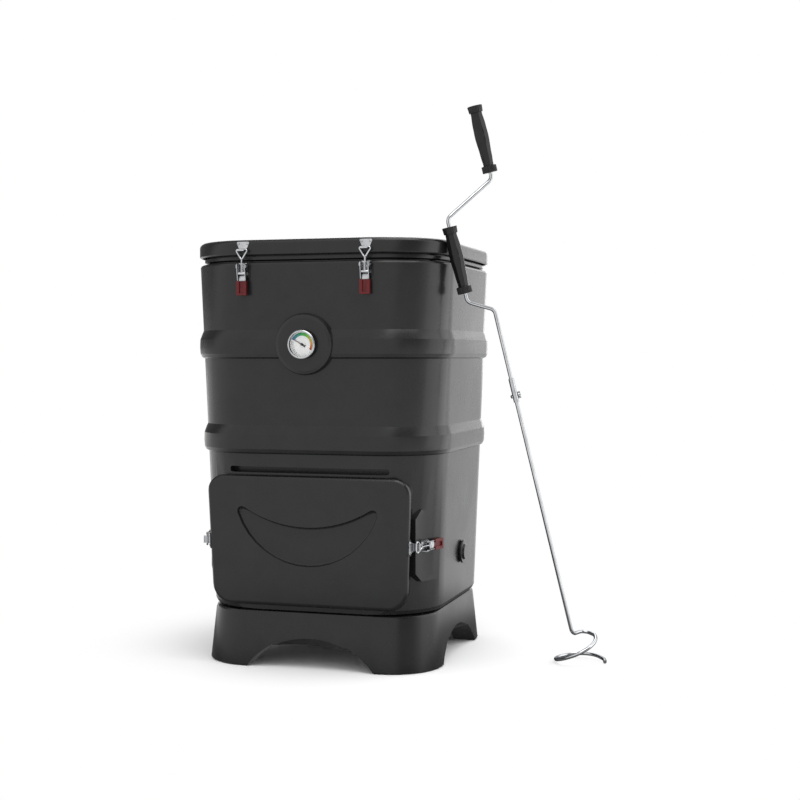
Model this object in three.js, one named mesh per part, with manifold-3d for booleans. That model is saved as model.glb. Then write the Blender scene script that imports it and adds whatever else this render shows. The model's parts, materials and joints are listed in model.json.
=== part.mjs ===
// Insulated compost bin with a hinged lid, a clip-on front door, a separate stand and an aerator tool.
// Millimetres, +Z up, the door faces -Y. The origin is on the ground, under the middle of the whole set.
import * as THREE from "three";
import { mergeVertices } from "three/addons/utils/BufferGeometryUtils.js";
import Module from "manifold-3d";

const wasm = await Module();
wasm.setup();

// Clearances that many pieces share
const seatGap = 0.3;
const cutOverrun = 20;
const cornerSteps = 7;
const fullTurn = Math.PI * 2;
const quarterTurn = Math.PI / 2;
const half = (size) => size / 2;

// Stand
const standHeight = 115;
const standFootHalf = 251;
const standTopHalf = 241;
const standCornerShare = 0.42;
const standEdgeRound = 6;
const standFootRound = 3;
const archHalfWidth = 137;
const archRise = 67;
const deckUnderside = 46;
const deckThickness = 8;
const scallopDepth = 24;
const legWall = 50;
const standRimWall = 19;
const standRib = 12;

// Body skin
const bodyHeight = 731;
const bodyTopHalf = 272.6;
const bodyBottomHalf = 247.2;
const bodyCornerShare = 0.5;
const skinWall = 4;
const bodyBottomRound = 11;
const shoulderDrop = 24;
const shoulderRound = 5;
const neckInset = 14.6;
const neckRingProud = 7;
const neckRingLow = 5;
const neckRingHeight = 6;
const bandProud = 8;
const bandHalfHeight = 29;
const lowerBandHeight = 465;
const upperBandHeight = 657.5;
const bandHeightShares = [-1, -0.9, -0.66, -0.2, 0.35, 0.72, 1];
const bandProudShares = [0, 0.6, 0.95, 1, 0.88, 0.42, 0];
const innerBandHeightShares = [-1, -0.6, 0.35, 1];
const innerBandProudShares = [0, 0.94, 0.86, 0];

// Liner, foam and grate
const wallDepth = 44;
const linerWall = 3;
const chamberFloor = 160;
const linerCornerShare = 0.45;
const grateThickness = 5;
const grateFootHeight = 12;
const grateFootRadius = 9;
const grateFootPlaceShare = 0.62;
const grateSlotWidth = 9;
const grateSlotPitch = 44;
const grateSlotReachShare = 0.78;
const grateClearance = 3;

// Lid
const lidHalf = 274;
const lidGap = 14;
const lidSkirt = 31.5;
const lidEdgeRound = 10;
const lidCrown = 10.5;
const lidCrownReachShares = [0.72, 0.42, 0.12];
const lidCrownRiseShares = [0.48, 0.84, 0.99];
const lidWall = 4;
const panSheet = 3;
const panDishDepth = 20;
const panDishHalf = 206;
const panDishSlope = 14;
const lidSealHeight = 4.4;
const lidSealWidth = 12;
const lidOpenClearance = 0.6;

// Door, its recess and its throat, measured on the sloping front face
const doorCentreHeight = 259.5;
const doorHeight = 265;
const doorTopHalf = 217;
const doorBottomHalf = 207.5;
const doorTopCorner = 32;
const doorBottomCorner = 42;
const doorProud = 9;
const doorThickness = 12;
const doorEdgeRound = 9;
const frameRecess = 6;
const recessRoundDoor = 3;
const dripSlotAboveDoor = 6;
const dripSlotHeight = 12;
const dripSlotHalf = 170;
const dripSlotDepth = 31;
const dripSlotRoundShare = 0.8;
const surroundInset = 5;
const surroundDepth = 30;
const throatHalf = 171;
const throatBelow = 101;
const throatAbove = 111;
const throatCorner = 30;
const throatWall = 3;
const doorPlugGap = 5;
const doorPlugDepth = 30;
const doorPlugCorner = 24;
const doorInnerSheet = 3;
const doorSealWidth = 13;
const doorSealSquash = 2.4;
const crescentLowerRadius = 157.8;
const crescentLowerCentre = 108.3;
const crescentUpperRadius = 256.3;
const crescentUpperCentre = 286.8;
const crescentEndRound = 10;
const crescentDepth = 8;
const crescentBevel = 6;
const crescentSteps = 16;
const crescentEndSteps = 4;

// Toggle latch, in its own frame: x across, -y outwards, z towards the strike
const latchPlate = 1.4;
const latchPlateHalf = 10.8;
const latchPlateLow = 17;
const latchPlateHigh = 7;
const pivotOut = 8;
const pivotPinRadius = 1.8;
const pivotPinFit = 0.25;
const earHalfLength = 6.5;
const earTop = 5;
const leverWallHalf = 9.1;
const leverSheet = 1.4;
const leverFloorOut = 2.4;
const leverLength = 56.5;
const leverKnee = 2;
const leverEndOut = 6.4;
const leverWallTop = 14;
const leverWallEnd = 10;
const leverHeadHigh = 5;
const leverBright = 29;
const gripHalf = 10.6;
const gripOut = 11.2;
const gripSheet = 1.2;
const gripSlotHalf = 4.6;
const gripSlotFloor = 8.2;
const linkThrow = 14;
const hookReach = 34;
const bailHalf = 13.2;
const bailHeight = 21;
const bailBend = 1;
const wireRadius = 1.75;
const barrelRadius = 3;
const strikePlate = 1.2;
const strikeTopHalf = 14.5;
const strikeBottomHalf = 8.6;
const strikeHigh = 50;
const strikeLow = 36.5;
const strikeHookHalf = 7.4;
const hookFloor = 1.3;
const hookLipGap = 6;
const hookLipHigh = 1.2;
const rivetRadius = 2.6;
const rivetHead = 1.2;
const rivetPlace = 9.2;
const rivetInset = 4.2;
const rivetSides = 6;
const wireSides = 6;
const baseRivetHead = 0.6;

// Where the latches sit
const lidLatchPlace = 130;
const lidLatchBelowLid = 23;
const latchPadHalf = 14;
const latchPadMargin = 6;
const latchPadRound = 3;
const doorLatchTurn = THREE.MathUtils.degToRad(72);
const doorLatchHeight = 256;
const doorLatchReach = 212;
const doorLatchSetBack = 3.8;
const doorPadHalf = 54;
const doorPadTallHalf = 72;
const doorPadFront = 25.5;
const doorPadShoulder = 4;
const doorPadBack = 60;
const doorPadDepth = 46;
const strikePadHalf = 16.5;
const strikePadLow = 29;
const strikePadHigh = 51.5;
const strikePadDepth = 14;

// Thermometer in its boss
const bossRadius = 62;
const bossProud = 14;
const bossEdge = 9;
const bossSteps = 32;
const stemRadius = 4;
const stemHoleRadius = 6.5;
const stemReach = 110;
const caseRadius = 29;
const caseDepth = 12;
const caseWall = 2.6;
const caseBack = 2.6;
const bezelLip = 1.4;
const dialThickness = 1;
const lensThickness = 1.6;
const spindleRadius = 0.9;
const pointerThickness = 0.8;
const pointerLength = 18;
const pointerTail = 8;
const pointerHalfWidth = 1.1;
const pointerTailHalfWidth = 2.2;
const pointerHubRadius = 2.6;
const pointerLift = 1.2;
const pointerTurn = THREE.MathUtils.degToRad(60);
const nutRadius = 12;
const nutThickness = 6;

// Side plug
const plugHeight = 217;
const plugPlace = 8;
const plugFlangeRadius = 24.5;
const plugFlange = 4;
const plugKnobRadius = 16;
const plugKnob = 4;
const plugShankRadius = 13.5;
const plugHoleGap = 0.5;
const plugSeal = 2;
const plugSealWidth = 8;
const plugRound = 1.4;

// Rear hinges
const hingePlace = 130;
const hingeHalfWidth = 27;
const hingeKnuckleHalf = 11;
const hingeSheet = 3;
const hingeBarrelRadius = 6;
const hingePinRadius = 3;
const hingePinHead = 4.6;
const hingePinHeadLong = 3;
const hingeBodyLeaf = 44;
const hingeLidLeaf = 16;
const hingeBelowLid = 1;
const hingePadMargin = 4;
const hingeSides = 16;
const hingeRivetPlace = 18;

// Aerator tool, in its own frame: z up the shaft, x in the plane of its bends
const rodRadius = 3.75;
const rodSides = 8;
const rodBend = 14;
const shaftSplit = 506;
const shaftTop = 645;
const lowerThrow = 52.3;
const upperThrow = 60;
const throwLow = 702;
const lowerGripStart = 720;
const gripLength = 137;
const throwHigh = 872;
const throwHighEnd = 928;
const upperGripStart = 941;
const gripCollarRadius = 15;
const gripWaistRadius = 11;
const gripBulgeRadius = 15;
const gripCollar = 14;
const gripFit = 0.3;
const gripSides = 14;
const gripEndWall = 10;
const sleeveLow = 482;
const sleeveHigh = 531;
const sleeveWall = 1.4;
const boltHeight = 495;
const boltRadius = 1.9;
const boltHeadRadius = 3.6;
const boltHead = 3;
const boltEnd = 12.5;
const wingNutHub = 3.8;
const wingNutHubLong = 3.6;
const wingSpan = 7;
const wingThickness = 1.8;
const wingReach = 6.5;
const augerRadius = 45;
const augerArmDrop = 17;
const augerStart = -24.5;
const augerPitch = 54;
const augerFlare = 9;
const augerFlarePower = 7;
const augerEnd = -84;
const augerStartTurn = THREE.MathUtils.degToRad(34);
const augerTurns = 1.2;
const augerSteps = 30;
const augerBend = 15;
const leanTilt = THREE.MathUtils.degToRad(14.6);
const leanTurn = THREE.MathUtils.degToRad(34.3);
const leanContactTurn = THREE.MathUtils.degToRad(-16);
const leanGap = -2;

// Finishes
const finish = (color, roughness, metalness) =>
  new THREE.MeshStandardMaterial({ color, roughness, metalness });
const blackPlastic = finish(0x37383a, 0.5, 0);
const innerPlastic = finish(0x2b2c2e, 0.6, 0);
const paleFoam = finish(0xd9d4c5, 0.9, 0);
const blackRubber = finish(0x1b1b1c, 0.8, 0);
const stainless = finish(0xc9cbcd, 0.25, 1);
const redVinyl = finish(0x8d1a20, 0.4, 0);
const dialWhite = finish(0xeff1f0, 0.5, 0);
const lensGlass = finish(0xf2f6f7, 0.05, 0);
const pointerBlack = finish(0x202123, 0.5, 0);
const gripBlack = finish(0x1d1e20, 0.55, 0);

// A welded, outward facing solid from any closed geometry
function weld(geometry) {
  const bare = geometry.clone();
  for (const name of ["normal", "uv"]) bare.deleteAttribute(name);
  const merged = mergeVertices(bare, 1e-4);
  const place = merged.getAttribute("position").array;
  const corners = merged.getIndex().array;
  const faces = [];
  let volume = 0;
  for (let i = 0; i < corners.length; i += 3) {
    const [a, b, c] = [corners[i], corners[i + 1], corners[i + 2]];
    if (a === b || b === c || c === a) continue;
    faces.push(a, b, c);
    const [p, q, r] = [a, b, c].map((k) => new THREE.Vector3().fromArray(place, k * 3));
    volume += p.dot(q.cross(r));
  }
  if (volume < 0) faces.reverse();
  return new wasm.Manifold(
    new wasm.Mesh({
      numProp: 3,
      vertProperties: new Float32Array(place),
      triVerts: new Uint32Array(faces),
    }),
  );
}

function geometryOf(solid) {
  const mesh = solid.getMesh();
  const geometry = new THREE.BufferGeometry();
  geometry.setAttribute("position", new THREE.BufferAttribute(new Float32Array(mesh.vertProperties), 3));
  geometry.setIndex(new THREE.BufferAttribute(new Uint32Array(mesh.triVerts), 1));
  geometry.computeVertexNormals();
  return geometry;
}

const joined = (...shapes) => shapes.map(weld).reduce((sum, next) => sum.add(next));
const moved = (geometry, x, y, z) => geometry.clone().translate(x, y, z);

function piece(parent, name, material, shape) {
  const solid = shape instanceof THREE.BufferGeometry ? weld(shape) : shape;
  const mesh = new THREE.Mesh(geometryOf(solid), material);
  mesh.name = name;
  parent.add(mesh);
  return mesh;
}

// A closed skin through rings of equally many points, its ends capped or joined to each other
function loft(rings, { flatten = (p) => new THREE.Vector2(p.x, p.y), loop = false } = {}) {
  const count = rings[0].length;
  const faces = [];
  for (let level = 0; level < rings.length - (loop ? 0 : 1); level++) {
    const next = (level + 1) % rings.length;
    for (let k = 0; k < count; k++) {
      const along = (k + 1) % count;
      const [a, b, c, d] = [level * count + k, level * count + along, next * count + along, next * count + k];
      faces.push(a, b, c, a, c, d);
    }
  }
  if (!loop) {
    for (const [level, flip] of [[0, true], [rings.length - 1, false]]) {
      for (const corner of THREE.ShapeUtils.triangulateShape(rings[level].map(flatten), [])) {
        const [a, b, c] = corner.map((k) => level * count + k);
        faces.push(...(flip ? [a, c, b] : [a, b, c]));
      }
    }
  }
  const geometry = new THREE.BufferGeometry().setFromPoints(rings.flat());
  geometry.setIndex(faces);
  return geometry;
}

// Rounded square in plan, anticlockwise from above
function squareRing(halfWidth, corner, z) {
  const ring = [];
  const centre = halfWidth - corner;
  for (let side = 0; side < 4; side++) {
    const start = side * quarterTurn;
    const [x, y] = [[1, -1], [1, 1], [-1, 1], [-1, -1]][side].map((sign) => sign * centre);
    for (let k = 0; k <= cornerSteps; k++) {
      const turn = start - quarterTurn + (quarterTurn * k) / cornerSteps;
      ring.push(new THREE.Vector3(x + corner * Math.cos(turn), y + corner * Math.sin(turn), z));
    }
  }
  return ring;
}

// Levels are [height, half width] pairs; the corners follow the width
const squareStack = (levels, cornerShare) =>
  loft(levels.map(([z, halfWidth]) => squareRing(halfWidth, halfWidth * cornerShare, z)));

// Outline with a fillet of its own at each corner, given as [x, y, radius], anticlockwise
function filleted(corners, steps = 6) {
  const outline = [];
  corners.forEach(([x, y, radius], k) => {
    const here = new THREE.Vector2(x, y);
    const [before, after] = [corners.at(k - 1), corners[(k + 1) % corners.length]].map(
      ([u, v]) => new THREE.Vector2(u, v).sub(here).normalize(),
    );
    const opening = Math.acos(before.dot(after)) / 2;
    const reach = radius / Math.tan(opening);
    const middle = before.clone().add(after).normalize().multiplyScalar(radius / Math.sin(opening)).add(here);
    const from = before.clone().multiplyScalar(reach).add(here).sub(middle);
    const sweep = Math.PI - 2 * opening;
    const sense = before.cross(after) < 0 ? 1 : -1;
    for (let s = 0; s <= steps; s++) {
      const turned = from.clone().rotateAround(new THREE.Vector2(), (sense * sweep * s) / steps);
      outline.push(turned.add(middle));
    }
  });
  return outline;
}

// An outline in x and z, carried along y from the front to the back
function plateAlongY(outline, front, back) {
  const shape = new THREE.Shape(outline);
  const geometry = new THREE.ExtrudeGeometry(shape, { depth: back - front, bevelEnabled: false, steps: 1 });
  return geometry.rotateX(quarterTurn).translate(0, back, 0);
}

// An outline in y and z, carried along x
function prismAlongX(outline, left, right) {
  const shape = new THREE.Shape(outline.map(([y, z]) => new THREE.Vector2(y, z)));
  const geometry = new THREE.ExtrudeGeometry(shape, { depth: right - left, bevelEnabled: false, steps: 1 });
  const turn = new THREE.Matrix4().makeBasis(
    new THREE.Vector3(0, 1, 0),
    new THREE.Vector3(0, 0, 1),
    new THREE.Vector3(1, 0, 0),
  );
  return geometry.applyMatrix4(turn).translate(left, 0, 0);
}

// A profile of [radius, height] pairs turned about z
const turnedShape = (profile, steps) =>
  new THREE.LatheGeometry(profile.map(([r, z]) => new THREE.Vector2(r, z)), steps).rotateX(quarterTurn);

// The same, with its height running out of the front, along -y
const turnedOutwards = (profile, steps) =>
  new THREE.LatheGeometry(profile.map(([r, z]) => new THREE.Vector2(r, z)), steps).rotateX(Math.PI);

function rodBetween(from, to, radius, sides) {
  const along = to.clone().sub(from);
  const geometry = new THREE.CylinderGeometry(radius, radius, along.length(), sides);
  const turn = new THREE.Quaternion().setFromUnitVectors(new THREE.Vector3(0, 1, 0), along.clone().normalize());
  return geometry.applyQuaternion(turn).translate(...from.clone().add(to).divideScalar(2).toArray());
}

// Round bar along a list of points, its rings turned as little as possible from one to the next
function sweep(points, radius, sides, loop = false) {
  const tangents = points.map((p, k) => {
    const before = loop ? points.at(k - 1) : points[Math.max(k - 1, 0)];
    const after = loop ? points[(k + 1) % points.length] : points[Math.min(k + 1, points.length - 1)];
    return after.clone().sub(before).normalize();
  });
  let across = new THREE.Vector3(0, 1, 0);
  const rings = points.map((p, k) => {
    across = across.clone().addScaledVector(tangents[k], -across.dot(tangents[k])).normalize();
    const other = tangents[k].clone().cross(across);
    return Array.from({ length: sides }, (_, s) => {
      const turn = (fullTurn * s) / sides;
      return p
        .clone()
        .addScaledVector(across, radius * Math.cos(turn))
        .addScaledVector(other, radius * Math.sin(turn));
    });
  });
  const ends = [rings[0], rings.at(-1)];
  const flatten = (p) => {
    const turn = (ends.find((ring) => ring.includes(p)).indexOf(p) * fullTurn) / sides;
    return new THREE.Vector2(Math.cos(turn), Math.sin(turn));
  };
  return loft(rings, { flatten, loop });
}

// Points of a bent bar: straight runs joined by arcs of one bend radius
function bentRun(corners, bend, steps = 5, loop = false) {
  const run = loop ? [] : [corners[0]];
  const [first, last] = loop ? [0, corners.length] : [1, corners.length - 1];
  for (let k = first; k < last; k++) {
    const here = corners[k];
    const before = corners.at(k - 1).clone().sub(here).normalize();
    const after = corners[(k + 1) % corners.length].clone().sub(here).normalize();
    const opening = before.angleTo(after) / 2;
    const reach = bend / Math.tan(opening);
    const middle = before.clone().add(after).normalize().multiplyScalar(bend / Math.sin(opening)).add(here);
    const from = before.clone().multiplyScalar(reach).add(here).sub(middle);
    const axis = after.clone().cross(before).normalize();
    for (let s = 0; s <= steps; s++) {
      run.push(from.clone().applyAxisAngle(axis, ((Math.PI - 2 * opening) * s) / steps).add(middle));
    }
  }
  if (!loop) run.push(corners.at(-1));
  return run;
}

// Body skin: its face leans out by the same slope on all four sides
const bodyBottom = standHeight + seatGap;
const rimTop = bodyBottom + bodyHeight;
const shoulder = rimTop - shoulderDrop;
const faceSlope = (bodyTopHalf - bodyBottomHalf) / (shoulder - bodyBottom);
const faceTilt = Math.atan(faceSlope);
const faceHalf = (z) => bodyBottomHalf + (z - bodyBottom) * faceSlope;
const neckHalf = bodyTopHalf - neckInset;

// The body's outer levels, or the same drawn in by a wall
function bodyLevels(inset, floor, top) {
  const [heights, prouds] = inset
    ? [innerBandHeightShares, innerBandProudShares]
    : [bandHeightShares, bandProudShares];
  const band = (centre) =>
    heights.map((share, k) => [
      centre + share * bandHalfHeight,
      faceHalf(centre + share * bandHalfHeight) + prouds[k] * bandProud - inset,
    ]);
  const start = faceHalf(floor) - inset;
  const round = bodyBottomRound;
  const shoulderHalf = bodyTopHalf - inset;
  const shoulderTop = shoulder - inset;
  return [
    [floor, start - round],
    [floor + round * 0.3, start - round * 0.3],
    [floor + round, start],
    ...band(lowerBandHeight),
    ...band(upperBandHeight),
    [shoulderTop - shoulderRound, shoulderHalf],
    [shoulderTop - shoulderRound * 0.3, shoulderHalf - shoulderRound * 0.3],
    [shoulderTop, shoulderHalf - shoulderRound],
    [shoulderTop + half(seatGap), neckHalf - inset],
    [top, neckHalf - inset],
  ];
}

// A group on a sloping face: its -y points out of the face, its z runs up it
function onFace(turnAboutZ, height) {
  const group = new THREE.Group();
  group.rotation.set(faceTilt, 0, turnAboutZ, "ZXY");
  group.position.set(0, -faceHalf(height), height).applyAxisAngle(new THREE.Vector3(0, 0, 1), turnAboutZ);
  group.updateMatrix();
  return group;
}

const bin = new THREE.Group();
const doorGroup = onFace(0, doorCentreHeight);
const bossGroup = onFace(0, upperBandHeight);
const plugGroup = onFace(quarterTurn, plugHeight);
plugGroup.position.y += plugPlace;
plugGroup.updateMatrix();
bin.add(doorGroup, bossGroup, plugGroup);
const placedBy = (group, geometry) => geometry.clone().applyMatrix4(group.matrix);

// Latch frames: the two on the lid hang straight down, the two beside the door point forwards
const lidBottom = shoulder + lidGap;
const lidEdgeTop = lidBottom + lidSkirt;
const lidTop = lidEdgeTop + lidCrown;
const latchPlaces = [];
for (const side of [-1, 1]) {
  const group = new THREE.Group();
  group.position.set(side * lidLatchPlace, -lidHalf - seatGap, lidBottom - lidLatchBelowLid);
  latchPlaces.push({ name: side < 0 ? "latch_lid_left" : "latch_lid_right", group });
}
for (const side of [-1, 1]) {
  const out = new THREE.Vector3(side * Math.sin(doorLatchTurn), -Math.cos(doorLatchTurn), 0);
  const forward = new THREE.Vector3(-side * Math.cos(doorLatchTurn), -Math.sin(doorLatchTurn), 0);
  const inward = out.clone().negate();
  const group = new THREE.Group();
  group.setRotationFromMatrix(
    new THREE.Matrix4().makeBasis(inward.clone().cross(forward), inward, forward),
  );
  // The strike's far end stands just behind the door's front face
  const strikeEndY = -faceHalf(doorLatchHeight) - doorProud + doorLatchSetBack;
  group.position
    .set(side * doorLatchReach, strikeEndY, doorLatchHeight)
    .addScaledVector(forward, -strikeHigh)
    .addScaledVector(out, seatGap);
  latchPlaces.push({ name: side < 0 ? "latch_door_left" : "latch_door_right", group });
}
for (const { group } of latchPlaces) {
  group.updateMatrix();
  bin.add(group);
}
const [lidLatchLeft, lidLatchRight, doorLatchLeft, doorLatchRight] = latchPlaces.map((place) => place.group);

// Door outline, trapezoid with rounded corners, drawn in by an inset
function doorOutline(inset) {
  const [top, low] = [half(doorHeight) - inset, -half(doorHeight) + inset];
  return filleted([
    [-doorBottomHalf + inset, low, doorBottomCorner - inset],
    [doorBottomHalf - inset, low, doorBottomCorner - inset],
    [doorTopHalf - inset, top, doorTopCorner - inset],
    [-doorTopHalf + inset, top, doorTopCorner - inset],
  ]);
}

// Throat outline, grown by a margin
const throatOutline = (grow) =>
  filleted([
    [-throatHalf - grow, -throatBelow - grow, throatCorner + grow],
    [throatHalf + grow, -throatBelow - grow, throatCorner + grow],
    [throatHalf + grow, throatAbove + grow, throatCorner + grow],
    [-throatHalf - grow, throatAbove + grow, throatCorner + grow],
  ]);

// The recess runs from the door's top edge down through the body's foot
function doorRecess(grow, back) {
  const side = doorTopHalf + recessRoundDoor + grow;
  const top = half(doorHeight) + recessRoundDoor + grow;
  const low = bodyBottom - doorCentreHeight - cutOverrun;
  const outline = filleted([
    [-side, low, doorTopCorner * 0.1],
    [side, low, doorTopCorner * 0.1],
    [side, top, doorTopCorner],
    [-side, top, doorTopCorner],
  ]);
  return placedBy(doorGroup, plateAlongY(outline, -wallDepth, back));
}

// A deeper slot above the door keeps drips off its top edge
function dripSlot(grow, back) {
  const low = half(doorHeight) + dripSlotAboveDoor - grow;
  const high = half(doorHeight) + dripSlotAboveDoor + dripSlotHeight + grow;
  const [side, round] = [dripSlotHalf + grow, half(high - low) * dripSlotRoundShare];
  const outline = filleted([
    [-side, low, round],
    [side, low, round],
    [side, high, round],
    [-side, high, round],
  ], 2);
  return placedBy(doorGroup, plateAlongY(outline, -wallDepth, back));
}

// Flat pads on the body skin for the latch plates and the hinge leaves
function flatPad(x, low, high, halfWidth, faceY) {
  const outline = filleted([
    [x - halfWidth, low, latchPadRound],
    [x + halfWidth, low, latchPadRound],
    [x + halfWidth, high, latchPadRound],
    [x - halfWidth, high, latchPadRound],
  ], 2);
  const inside = Math.sign(faceY) * (faceHalf(low) - half(skinWall));
  return plateAlongY(outline, Math.min(faceY, inside), Math.max(faceY, inside));
}

const hingeAxisHeight = lidBottom - hingeBelowLid;
const hingeAxisDepth = lidHalf + seatGap + hingeBarrelRadius;
const hingeLeafTop = hingeAxisHeight - hingeBarrelRadius;

function bodySkin() {
  const outer = weld(squareStack(bodyLevels(0, bodyBottom, rimTop), bodyCornerShare));
  const ringLow = shoulder + neckRingLow;
  const neckRing = squareStack(
    [
      [ringLow - half(neckRingProud), neckHalf - skinWall / 2],
      [ringLow, neckHalf + neckRingProud],
      [ringLow + neckRingHeight, neckHalf + neckRingProud],
      [ringLow + neckRingHeight + seatGap, neckHalf - skinWall / 2],
    ],
    bodyCornerShare,
  );
  const surround = placedBy(
    doorGroup,
    plateAlongY(doorOutline(surroundInset), frameRecess, frameRecess + surroundDepth),
  );
  const boss = placedBy(
    bossGroup,
    turnedOutwards(
      [[0, -skinWall / 2], [bossRadius, -skinWall / 2], [bossRadius, bossProud - bossEdge],
        [bossRadius - bossEdge * 0.3, bossProud - bossEdge * 0.3], [bossRadius - bossEdge, bossProud],
        [0, bossProud]],
      bossSteps,
    ),
  );
  let skin = outer
    .add(weld(neckRing))
    .subtract(weld(doorRecess(0, frameRecess)))
    .subtract(weld(dripSlot(0, dripSlotDepth)))
    .add(weld(surround))
    .add(weld(boss));
  for (const side of [-1, 1]) {
    const latchMiddle = lidBottom - lidLatchBelowLid;
    const padLow = latchMiddle - latchPlateLow - latchPadMargin;
    const padHigh = shoulder - shoulderRound;
    skin = skin.add(weld(flatPad(side * lidLatchPlace, padLow, padHigh, latchPadHalf, -lidHalf)));
    const leafLow = hingeLeafTop - hingeBodyLeaf - hingePadMargin;
    skin = skin.add(weld(flatPad(side * hingePlace, leafLow, padHigh, hingeHalfWidth + hingePadMargin, lidHalf)));
  }
  for (const group of [doorLatchLeft, doorLatchRight]) {
    const outline = [
      [-doorPadHalf, doorPadFront], [doorPadHalf, doorPadFront], [doorPadTallHalf, doorPadShoulder],
      [doorPadTallHalf, -doorPadBack], [-doorPadTallHalf, -doorPadBack], [-doorPadTallHalf, doorPadShoulder],
    ].map(([x, z]) => new THREE.Vector2(x, z));
    outline.reverse();
    skin = skin.add(weld(placedBy(group, plateAlongY(outline, seatGap, doorPadDepth))));
  }
  // Hollow of the skin, kept a wall behind the door recess and the slot
  const hollow = weld(
    squareStack(bodyLevels(skinWall, bodyBottom + skinWall, rimTop + cutOverrun), bodyCornerShare),
  )
    .subtract(weld(doorRecess(skinWall, frameRecess + skinWall)))
    .subtract(weld(dripSlot(skinWall, dripSlotDepth + skinWall)));
  const doorway = placedBy(doorGroup, plateAlongY(throatOutline(seatGap), -wallDepth, wallDepth * 2));
  return skin.subtract(hollow).subtract(weld(doorway)).subtract(stemHole()).subtract(plugHole());
}

const stemHole = () =>
  weld(placedBy(bossGroup, turnedOutwards(
    [[0, -wallDepth * 2], [stemHoleRadius, -wallDepth * 2], [stemHoleRadius, cutOverrun * 2], [0, cutOverrun * 2]],
    hingeSides,
  )));
const plugHole = () => {
  const radius = plugShankRadius + plugHoleGap;
  return weld(placedBy(plugGroup, turnedOutwards(
    [[0, -wallDepth * 2], [radius, -wallDepth * 2], [radius, cutOverrun], [0, cutOverrun]],
    hingeSides,
  )));
};

// Liner: a tub that follows the body's slope, with a flange on the foam
const linerFloorUnderside = chamberFloor - linerWall;
const linerHalf = (z) => faceHalf(z) - wallDepth;
const flangeUnderside = rimTop - linerWall;
const linerOuter = (grow) =>
  squareStack(
    [
      [linerFloorUnderside - grow, linerHalf(linerFloorUnderside) + grow],
      [rimTop + grow, linerHalf(rimTop) + grow],
    ],
    linerCornerShare,
  );
const linerInner = squareStack(
  [
    [chamberFloor, linerHalf(chamberFloor) - linerWall],
    [rimTop + cutOverrun, linerHalf(rimTop + cutOverrun) - linerWall],
  ],
  linerCornerShare,
);
const throatPassage = () =>
  weld(placedBy(doorGroup, plateAlongY(throatOutline(seatGap), -wallDepth, wallDepth * 2)));

function linerSolid() {
  const flange = squareStack(
    [[flangeUnderside, neckHalf - skinWall - seatGap], [rimTop, neckHalf - skinWall - seatGap]],
    bodyCornerShare,
  );
  return weld(linerOuter(0))
    .add(weld(flange))
    .subtract(weld(linerInner))
    .subtract(throatPassage())
    .subtract(stemHole())
    .subtract(plugHole());
}

function bodyFoam() {
  const inset = skinWall + seatGap;
  const back = frameRecess + inset;
  return weld(squareStack(bodyLevels(inset, bodyBottom + inset, flangeUnderside - seatGap), bodyCornerShare))
    .subtract(weld(doorRecess(inset, back)))
    .subtract(weld(dripSlot(inset, dripSlotDepth + inset)))
    .subtract(weld(linerOuter(seatGap)))
    .subtract(throatPassage())
    .subtract(stemHole())
    .subtract(plugHole());
}

function throatSolid() {
  const outer = plateAlongY(throatOutline(0), frameRecess, wallDepth + linerWall);
  const inner = plateAlongY(throatOutline(-throatWall), -cutOverrun, wallDepth + cutOverrun);
  return weld(outer).subtract(weld(inner));
}

function grateSolid() {
  const halfWidth = linerHalf(chamberFloor) - linerWall - grateClearance;
  const low = chamberFloor + seatGap + grateFootHeight;
  let grate = weld(squareStack([[low, halfWidth], [low + grateThickness, halfWidth]], linerCornerShare));
  const reach = halfWidth * grateSlotReachShare;
  const rows = Math.floor(reach / grateSlotPitch);
  for (let row = -rows; row <= rows; row++) {
    const slot = new THREE.BoxGeometry(reach * 2, grateSlotWidth, grateThickness + cutOverrun);
    grate = grate.subtract(weld(slot.translate(0, row * grateSlotPitch, low)));
  }
  const place = halfWidth * grateFootPlaceShare;
  const between = grateSlotPitch * (Math.floor(place / grateSlotPitch) + 0.5);
  for (const x of [-1, 1]) {
    for (const y of [-1, 1]) {
      const foot = new THREE.CylinderGeometry(grateFootRadius, grateFootRadius, grateFootHeight + 1, rodSides);
      foot.rotateX(quarterTurn).translate(x * between, y * between, low - half(grateFootHeight - 1));
      grate = grate.add(weld(foot));
    }
  }
  return grate;
}

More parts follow.
